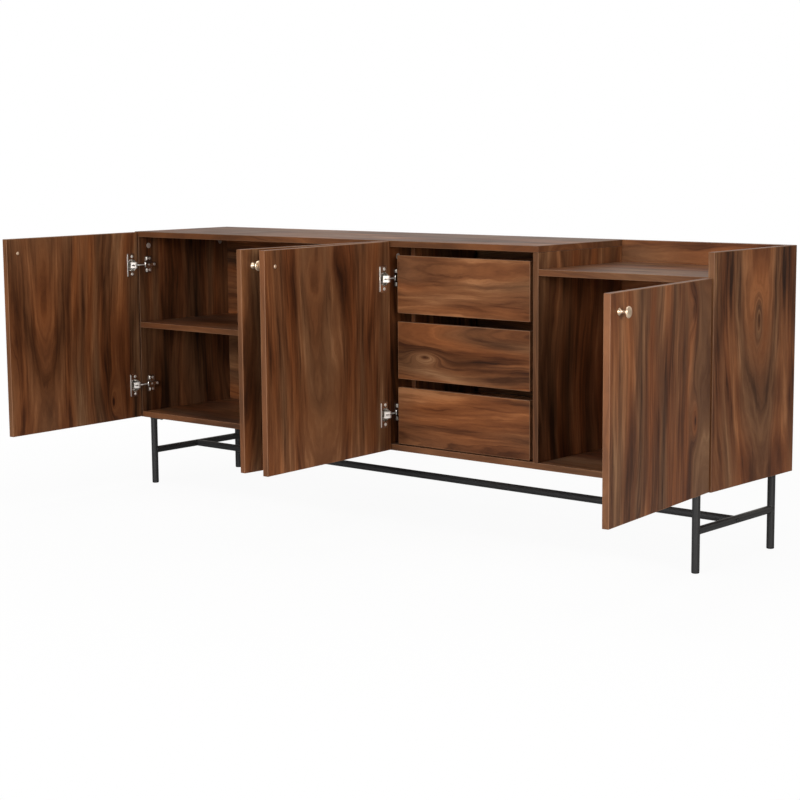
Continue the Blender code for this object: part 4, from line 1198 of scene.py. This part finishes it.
# %% [markdown]
# ## The steel base
#
# Each end of the base is two legs and a stretcher of 18 mm round tube, welded and powder coated as one frame, with
# a plate on top of each leg and a plastic plug in its foot. A weld bead follows the curve where the round
# stretcher meets the round leg, and another runs round the leg under its plate. One long stretcher joins the ends.
# %% Base
TUBE = 0.009                  # radius
WELD = 0.0011                 # radius of a weld bead
WELD_SIDES = 24
PLUG_HIGH = 0.004
PLUG_PROFILE = ((TUBE - 0.0016, 0.0), (TUBE - 0.0006, 0.0005), (TUBE - 0.0001, 0.0016), (TUBE - 0.0001, PLUG_HIGH))
PLATE_THICK = 0.0025
PLATE_SIDE = 0.050
PLATE_CORNER = 0.006


def saddle(centre, way):
    """The curve where a tube along Y meets an upright one of the same size, on the side that way points to."""
    turns = [math.tau * i / TUBE_SIDES for i in range(TUBE_SIDES)]
    return [(centre[0] + TUBE * math.cos(turn), centre[1] + way * TUBE * abs(math.sin(turn)),
             centre[2] + TUBE * math.sin(turn)) for turn in turns]


def add_leg_fittings(shape, x, y, inward_x, inward_y, top):
    """The plug in the foot of a leg, and the plate on its top."""
    shape.turned(PLUG_PROFILE, Matrix.Translation((x, y, 0)), 1)
    outer_x, outer_y = x - inward_x * TUBE, y - inward_y * TUBE
    sides_x = sorted((outer_x, outer_x + inward_x * PLATE_SIDE))
    sides_y = sorted((outer_y, outer_y + inward_y * PLATE_SIDE))
    shape.stamped(rounded_box(*sides_x, *sides_y, PLATE_CORNER), top - PLATE_THICK, top, ease=PLATE_EASE)


def make_leg_frame(node, inward):
    low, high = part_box(node)
    x = low.x + TUBE if inward > 0 else high.x - TUBE
    front, back = low.y + TUBE, high.y - TUBE
    bar_low, bar_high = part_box("long_stretcher")
    rung = (bar_low.z + bar_high.z) / 2
    leg_top = high.z - PLATE_THICK / 2
    wires = [([(x, y, PLUG_HIGH), (x, y, leg_top)], TUBE, False) for y in (front, back)]
    wires.append(([(x, front, rung), (x, back, rung)], TUBE, False))
    wires += [(saddle((x, y, rung), way), WELD, True) for y, way in ((front, 1), (back, -1))]
    wires += [(circle(TUBE, high.z - PLATE_THICK, WELD_SIDES, (x, y)), WELD, True) for y in (front, back)]
    tubes = through_nodes(wire_mesh(node + "_wires", wires), TUBES, Sides=TUBE_SIDES, Finish=BLACK)
    frame_shape = Shape(BLACK, RUBBER)
    frame_shape.bm.from_mesh(tubes)
    for y, inward_y in ((front, 1), (back, -1)):
        add_leg_fittings(frame_shape, x, y, inward, inward_y, high.z)
    return frame_shape.piece(node + "_welded", "cabinet", "black_steel", node)


def make_long_stretcher():
    low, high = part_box("long_stretcher")
    y, z = (low.y + high.y) / 2, (low.z + high.z) / 2
    wires = [([(low.x, y, z), (high.x, y, z)], TUBE, False)]
    tubes = through_nodes(wire_mesh("long_stretcher_wire", wires), TUBES, Sides=TUBE_SIDES, Finish=BLACK)
    bar = Shape(BLACK)
    bar.bm.from_mesh(tubes)
    return bar.piece("long_stretcher_tube", "cabinet", "black_steel", "long_stretcher")


make_leg_frame("left_leg_frame", 1)
make_leg_frame("right_leg_frame", -1)
print(make_long_stretcher().name)

# %% [markdown]
# ## Heads on points
#
# Screws and cams repeat, so each kind of head is made once. Geometry Nodes then sets it on points that know which
# way they face, and gives every one its own turn about its axis, because nobody lines up their screws. A fixed
# seed keeps those turns the same on every run.
# %% Heads on points


def make_heads_tree():
    tree, given, result = geometry_tree("heads on points", {"Head": "Object", "Finish": "Material", "Seed": "Int"})
    head = add_node(tree, "GeometryNodeObjectInfo", {"Object": given["Head"]}).outputs["Geometry"]
    facing = add_node(tree, "FunctionNodeAlignRotationToVector",
                      {"Vector": attribute(tree, "facing", "FLOAT_VECTOR")}, axis="Z").outputs[0]
    placed = add_node(tree, "GeometryNodeInstanceOnPoints", {
        "Points": given["Geometry"], "Instance": head, "Rotation": facing}).outputs[0]
    spin = add_node(tree, "FunctionNodeRandomValue", {
        0: (0.0, 0.0, 0.0), 1: (0.0, 0.0, math.pi), "Seed": given["Seed"]}, data_type="FLOAT_VECTOR")
    turned = add_node(tree, "GeometryNodeRotateInstances", {
        "Instances": placed, "Rotation": spin.outputs[0], "Local Space": True}).outputs[0]
    real = add_node(tree, "GeometryNodeRealizeInstances", {"Geometry": turned}).outputs[0]
    finished = add_node(tree, "GeometryNodeSetMaterial", {"Geometry": real, "Material": given["Finish"]}).outputs[0]
    tree.links.new(finished, result[0])
    return tree


HEADS = make_heads_tree()
print(HEADS.name, "has", len(HEADS.nodes), "nodes")

# %% [markdown]
# ## Three kinds of head
#
# The boards are held by cams: a zinc drum turns in its bore and pulls on a bolt in the next board, and only its
# face shows, with a cross for the screwdriver. The base hangs on pan head screws, and a round bolt with a
# six-sided socket holds each end of the long stretcher. All three are lofts with few faces, because they repeat.
# %% Heads
CAM_RADIUS = 0.0074
CAM_PROUD = 0.0005            # how far it stands out of the board
CAM_SIDES = 16
CAM_DRUM = ((1.00, 0.0), (1.00, 0.6), (0.94, 1.0))           # shares of its radius and height
CAM_CROSS = ((0.0040, 0.0009, 1.0), (0.0036, 0.0007, 0.1))   # reach, width and share of the height
BASE_SCREW_SIZE = (0.0038, 0.0020)      # radius and height
BOLT_HEAD, BOLT_SIDES = 0.0055, 24
BOLT_PROFILE = ((1.00, 0.0), (1.00, 0.0012), (0.86, 0.0026), (0.62, 0.0032))    # share of its radius, and height
BOLT_SOCKET = 0.0022 * math.cos(math.radians(30))       # from the middle to a flat
SOCKET_HIGH, SOCKET_LOW = 0.0032, 0.0010


def head_object(name, build):
    """One head as an object for the tree to copy."""
    shape = Shape()
    build(shape)
    mesh = bpy.data.meshes.new(name)
    shape.bm.to_mesh(mesh)
    shape.bm.free()
    return bpy.data.objects.new(name, mesh)


def cam_head(shape):
    """A flat drum with a cross recess."""
    drum = [circle(share * CAM_RADIUS, high * CAM_PROUD, CAM_SIDES) for share, high in CAM_DRUM]
    recess = [cross(reach, width, high * CAM_PROUD, CAM_SIDES) for reach, width, high in CAM_CROSS]
    shape.loft(drum + recess)


def screw_head(shape):
    add_screw(shape, Matrix(), *BASE_SCREW_SIZE)


def hexagon(flat, height, sides):
    """A hexagon as a ring of points, so that it lofts to a circle. Flat is from the middle to a side."""
    ring = []
    for i in range(sides):
        turn = math.tau * i / sides
        nearest = turn - round(turn / (math.tau / 6)) * math.tau / 6
        radius = flat / math.cos(nearest)
        ring.append((radius * math.cos(turn), radius * math.sin(turn), height))
    return ring


def bolt_head(shape):
    """A round head with a six-sided socket."""
    head = [circle(share * BOLT_HEAD, height, BOLT_SIDES) for share, height in BOLT_PROFILE]
    shape.loft([*head, *(hexagon(BOLT_SOCKET, height, BOLT_SIDES) for height in (SOCKET_HIGH, SOCKET_LOW))])


CAM, SCREW, BOLT = head_object("cam", cam_head), head_object("screw", screw_head), head_object("bolt", bolt_head)
print("faces of the heads:", {head.name: len(head.data.polygons) for head in (CAM, SCREW, BOLT)})

# %% [markdown]
# ## Where the fixings go
#
# Every spot is a place and the way that the head faces. They are measured from the boards they hold together: cams
# under the top and in the drawer sides, four screws up through each plate of the base, and a bolt at each end of
# the long stretcher. The cams of a drawer are a piece of their own, because they ride with it.
# %% Fixings
CAM_BELOW_TOP = 0.025         # from the underside of the board it holds
CAM_FROM_FRONT = 0.0365
CAM_FROM_BACK = 0.0415
DRAWER_CAM = (0.030, 0.046)   # behind the front's face, above its bottom edge
PLATE_SCREW_INSET = 0.008


def set_heads(name, body, head, spots, finish, slot, seed):
    """Sets one kind of head on spots, which are pairs of a place and the way that the head faces."""
    mesh = bpy.data.meshes.new(name)
    mesh.from_pydata([spot for spot, _ in spots], [], [])
    facings = [part for _, facing in spots for part in facing]
    mesh.attributes.new("facing", "FLOAT_VECTOR", "POINT").data.foreach_set("vector", facings)
    return place_piece(name, through_nodes(mesh, HEADS, Head=head, Finish=finish, Seed=seed), body, slot)


def cam_spots(panel, face):
    """Two cams on one face of a panel that carries the top. Face is 1 for its right face, -1 for its left."""
    low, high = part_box(panel)
    under_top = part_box("top_panel")[0].z
    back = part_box("bottom_panel")[1].y
    x = high.x if face > 0 else low.x
    return [(Vector((x, y, under_top - CAM_BELOW_TOP)), Vector((face, 0, 0)))
            for y in (CABINET_FRONT + CAM_FROM_FRONT, back - CAM_FROM_BACK)]


def drawer_cam_spots(drawer):
    """One cam on the outer face of each side of a drawer."""
    front_low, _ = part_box(drawer + "_front")
    behind, above = DRAWER_CAM
    spots = []
    for side, face in (("left", -1), ("right", 1)):
        low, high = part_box(f"{drawer}_{side}_side")
        x = high.x if face > 0 else low.x
        spots.append((Vector((x, front_low.y + behind, front_low.z + above)), Vector((face, 0, 0))))
    return spots


def plate_screw_spots(node, inward):
    """Four screws in each of a frame's two plates, driven up into the bottom panel."""
    low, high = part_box(node)
    outer = low.x if inward > 0 else high.x
    spots = []
    for edge, deeper in ((low.y, 1), (high.y, -1)):
        for along in (PLATE_SIDE - PLATE_SCREW_INSET, 2 * TUBE + PLATE_SCREW_INSET):
            for across in (PLATE_SCREW_INSET, PLATE_SIDE - PLATE_SCREW_INSET):
                spots.append((Vector((outer + inward * along, edge + deeper * across, high.z - PLATE_THICK)),
                              Vector((0, 0, -1))))
    return spots


def bolt_spots():
    low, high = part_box("long_stretcher")
    y, z = (low.y + high.y) / 2, (low.z + high.z) / 2
    return [(Vector((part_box("left_leg_frame")[0].x, y, z)), Vector((-1, 0, 0))),
            (Vector((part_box("right_leg_frame")[1].x, y, z)), Vector((1, 0, 0)))]


set_heads("cabinet_cams", "cabinet", CAM,
          cam_spots("left_side_panel", 1) + cam_spots("left_divider", 1) + cam_spots("right_divider", -1),
          ZINC, "nickel", seed=3)
for number, drawer_name in enumerate(DRAWERS, 11):
    set_heads(drawer_name + "_cams", drawer_name, CAM, drawer_cam_spots(drawer_name), ZINC, "nickel", seed=number)
set_heads("plate_screws", "cabinet", SCREW,
          plate_screw_spots("left_leg_frame", 1) + plate_screw_spots("right_leg_frame", -1),
          BLACK, "black_steel", seed=5)
set_heads("stretcher_bolts", "cabinet", BOLT, bolt_spots(), BLACK, "black_steel", seed=8)
for head in (CAM, SCREW, BOLT):
    bpy.data.objects.remove(head)

# %% [markdown]
# ## The floor
#
# The photograph is a studio picture on white. A pale floor fades to plain white away from the sideboard, so no
# horizon shows, and near the legs it keeps a soft shadow. A plain white floor would throw too much light up under
# the shelves, so the camera sees it pale and everything else sees it grey.
# %% Floor
FLOOR_SIDE = 60.0
FLOOR_MIDDLE = (0.9, 0.1, 0.0)
WHITE_FROM, WHITE_AT = 1.0, 2.1      # metres from the floor's middle where it starts to fade, and is white
WHITE_NEAR = 0.94             # how far the floor is faded at its middle
PALE, BOUNCE = 0.90, 0.42     # the floor as the camera sees it, and as it lights the sideboard
WHITE = (1.0, 1.0, 1.0, 1.0)


def make_floor():
    half = FLOOR_SIDE / 2
    mesh = bpy.data.meshes.new("studio_floor")
    mesh.from_pydata([(-half, -half, 0), (half, -half, 0), (half, half, 0), (-half, half, 0)], [], [(0, 1, 2, 3)])
    floor = bpy.data.objects.new("studio_floor", mesh)
    bpy.context.scene.collection.objects.link(floor)
    material, tree, shader = new_material("studio_floor", Roughness=0.9)
    spots = add_node(tree, "ShaderNodeTexCoord").outputs
    offset = vector_maths(tree, "SUBTRACT", spots["Object"], FLOOR_MIDDLE)
    away = remapped(tree, vector_maths(tree, "LENGTH", offset), WHITE_FROM, WHITE_AT, WHITE_NEAR, 1.0)
    seen = add_node(tree, "ShaderNodeLightPath").outputs["Is Camera Ray"]
    pale = remapped(tree, seen, 0.0, 1.0, BOUNCE, PALE)
    grey = add_node(tree, "ShaderNodeCombineColor", {0: pale, 1: pale, 2: pale}).outputs[0]
    tree.links.new(grey, shader.inputs["Base Color"])
    glow = add_node(tree, "ShaderNodeEmission", {"Color": WHITE, "Strength": 1.0})
    both = add_node(tree, "ShaderNodeMixShader", {0: maths(tree, "MULTIPLY", away, seen), 1: shader.outputs[0],
                                                  2: glow.outputs[0]})
    tree.links.new(both.outputs[0], tree.nodes["Material Output"].inputs["Surface"])
    mesh.materials.append(material)
    return floor


print(make_floor().name, FLOOR_SIDE, "m a side")

# %% [markdown]
# ## The light
#
# One large soft light stands in front, a little to the right, a smaller and slightly warm one lights from the
# right, and one hangs above for the top. The camera sees white all round. What the world throws on the sideboard
# is dimmer and slightly warm: a bright wall behind it, which gives the top its sheen, and a weak glow from
# everywhere else, so that the open cupboards stay dark.
# %% Light
WARM = (1.0, 0.94, 0.88, 1.0)        # the colour of the world's light
BRIGHT_WALL = (-0.30, 0.94, 0.14)    # the way to the bright side of the studio
WALL_EDGE = 0.55              # how far from there it ends, as a cosine
LIGHTS = {                    # place, target, size, watts and colour
    "front_light": ((1.8, -4.8, 1.7), (0.9, 0.0, 0.40), (3.2, 2.0), 180.0, (1.0, 1.0, 1.0)),
    "right_light": ((5.2, -1.9, 1.2), (1.2, 0.0, 0.40), (2.0, 1.8), 95.0, (1.0, 0.96, 0.92)),
    "top_light": ((0.9, -0.2, 3.6), (0.9, 0.1, 0.0), (4.0, 2.4), 70.0, (1.0, 1.0, 1.0)),
}


def soft_light(name, place, target, size, power, colour):
    light = bpy.data.lights.new(name, "AREA")
    light.shape = "RECTANGLE"
    light.size, light.size_y = size
    light.energy = power
    light.color = colour
    lamp = bpy.data.objects.new(name, light)
    bpy.context.scene.collection.objects.link(lamp)
    lamp.location = place
    lamp.rotation_euler = (Vector(target) - Vector(place)).to_track_quat("-Z", "Y").to_euler()


def white_world(bright, dim, seen):
    """White all round, as the camera sees it. It lights the sideboard with less, and mostly from behind."""
    world = bpy.data.worlds.new("studio")
    world.use_nodes = True
    tree = world.node_tree
    shade = tree.nodes["Background"]
    way = add_node(tree, "ShaderNodeTexCoord").outputs["Generated"]
    facing = vector_maths(tree, "DOT_PRODUCT", way, BRIGHT_WALL)
    strength = remapped(tree, facing, WALL_EDGE, 1.0, dim, bright)
    path = add_node(tree, "ShaderNodeLightPath").outputs["Is Camera Ray"]
    both = add_node(tree, "ShaderNodeMix", {0: path, 2: strength, 3: seen})
    tree.links.new(mixed_colour(tree, "MIX", path, WARM, WHITE), shade.inputs["Color"])
    tree.links.new(both.outputs[0], shade.inputs["Strength"])
    bpy.context.scene.world = world


white_world(bright=0.80, dim=0.10, seen=1.0)
for light_name, values in LIGHTS.items():
    soft_light(light_name, *values)
bpy.context.scene.view_settings.view_transform = "Standard"
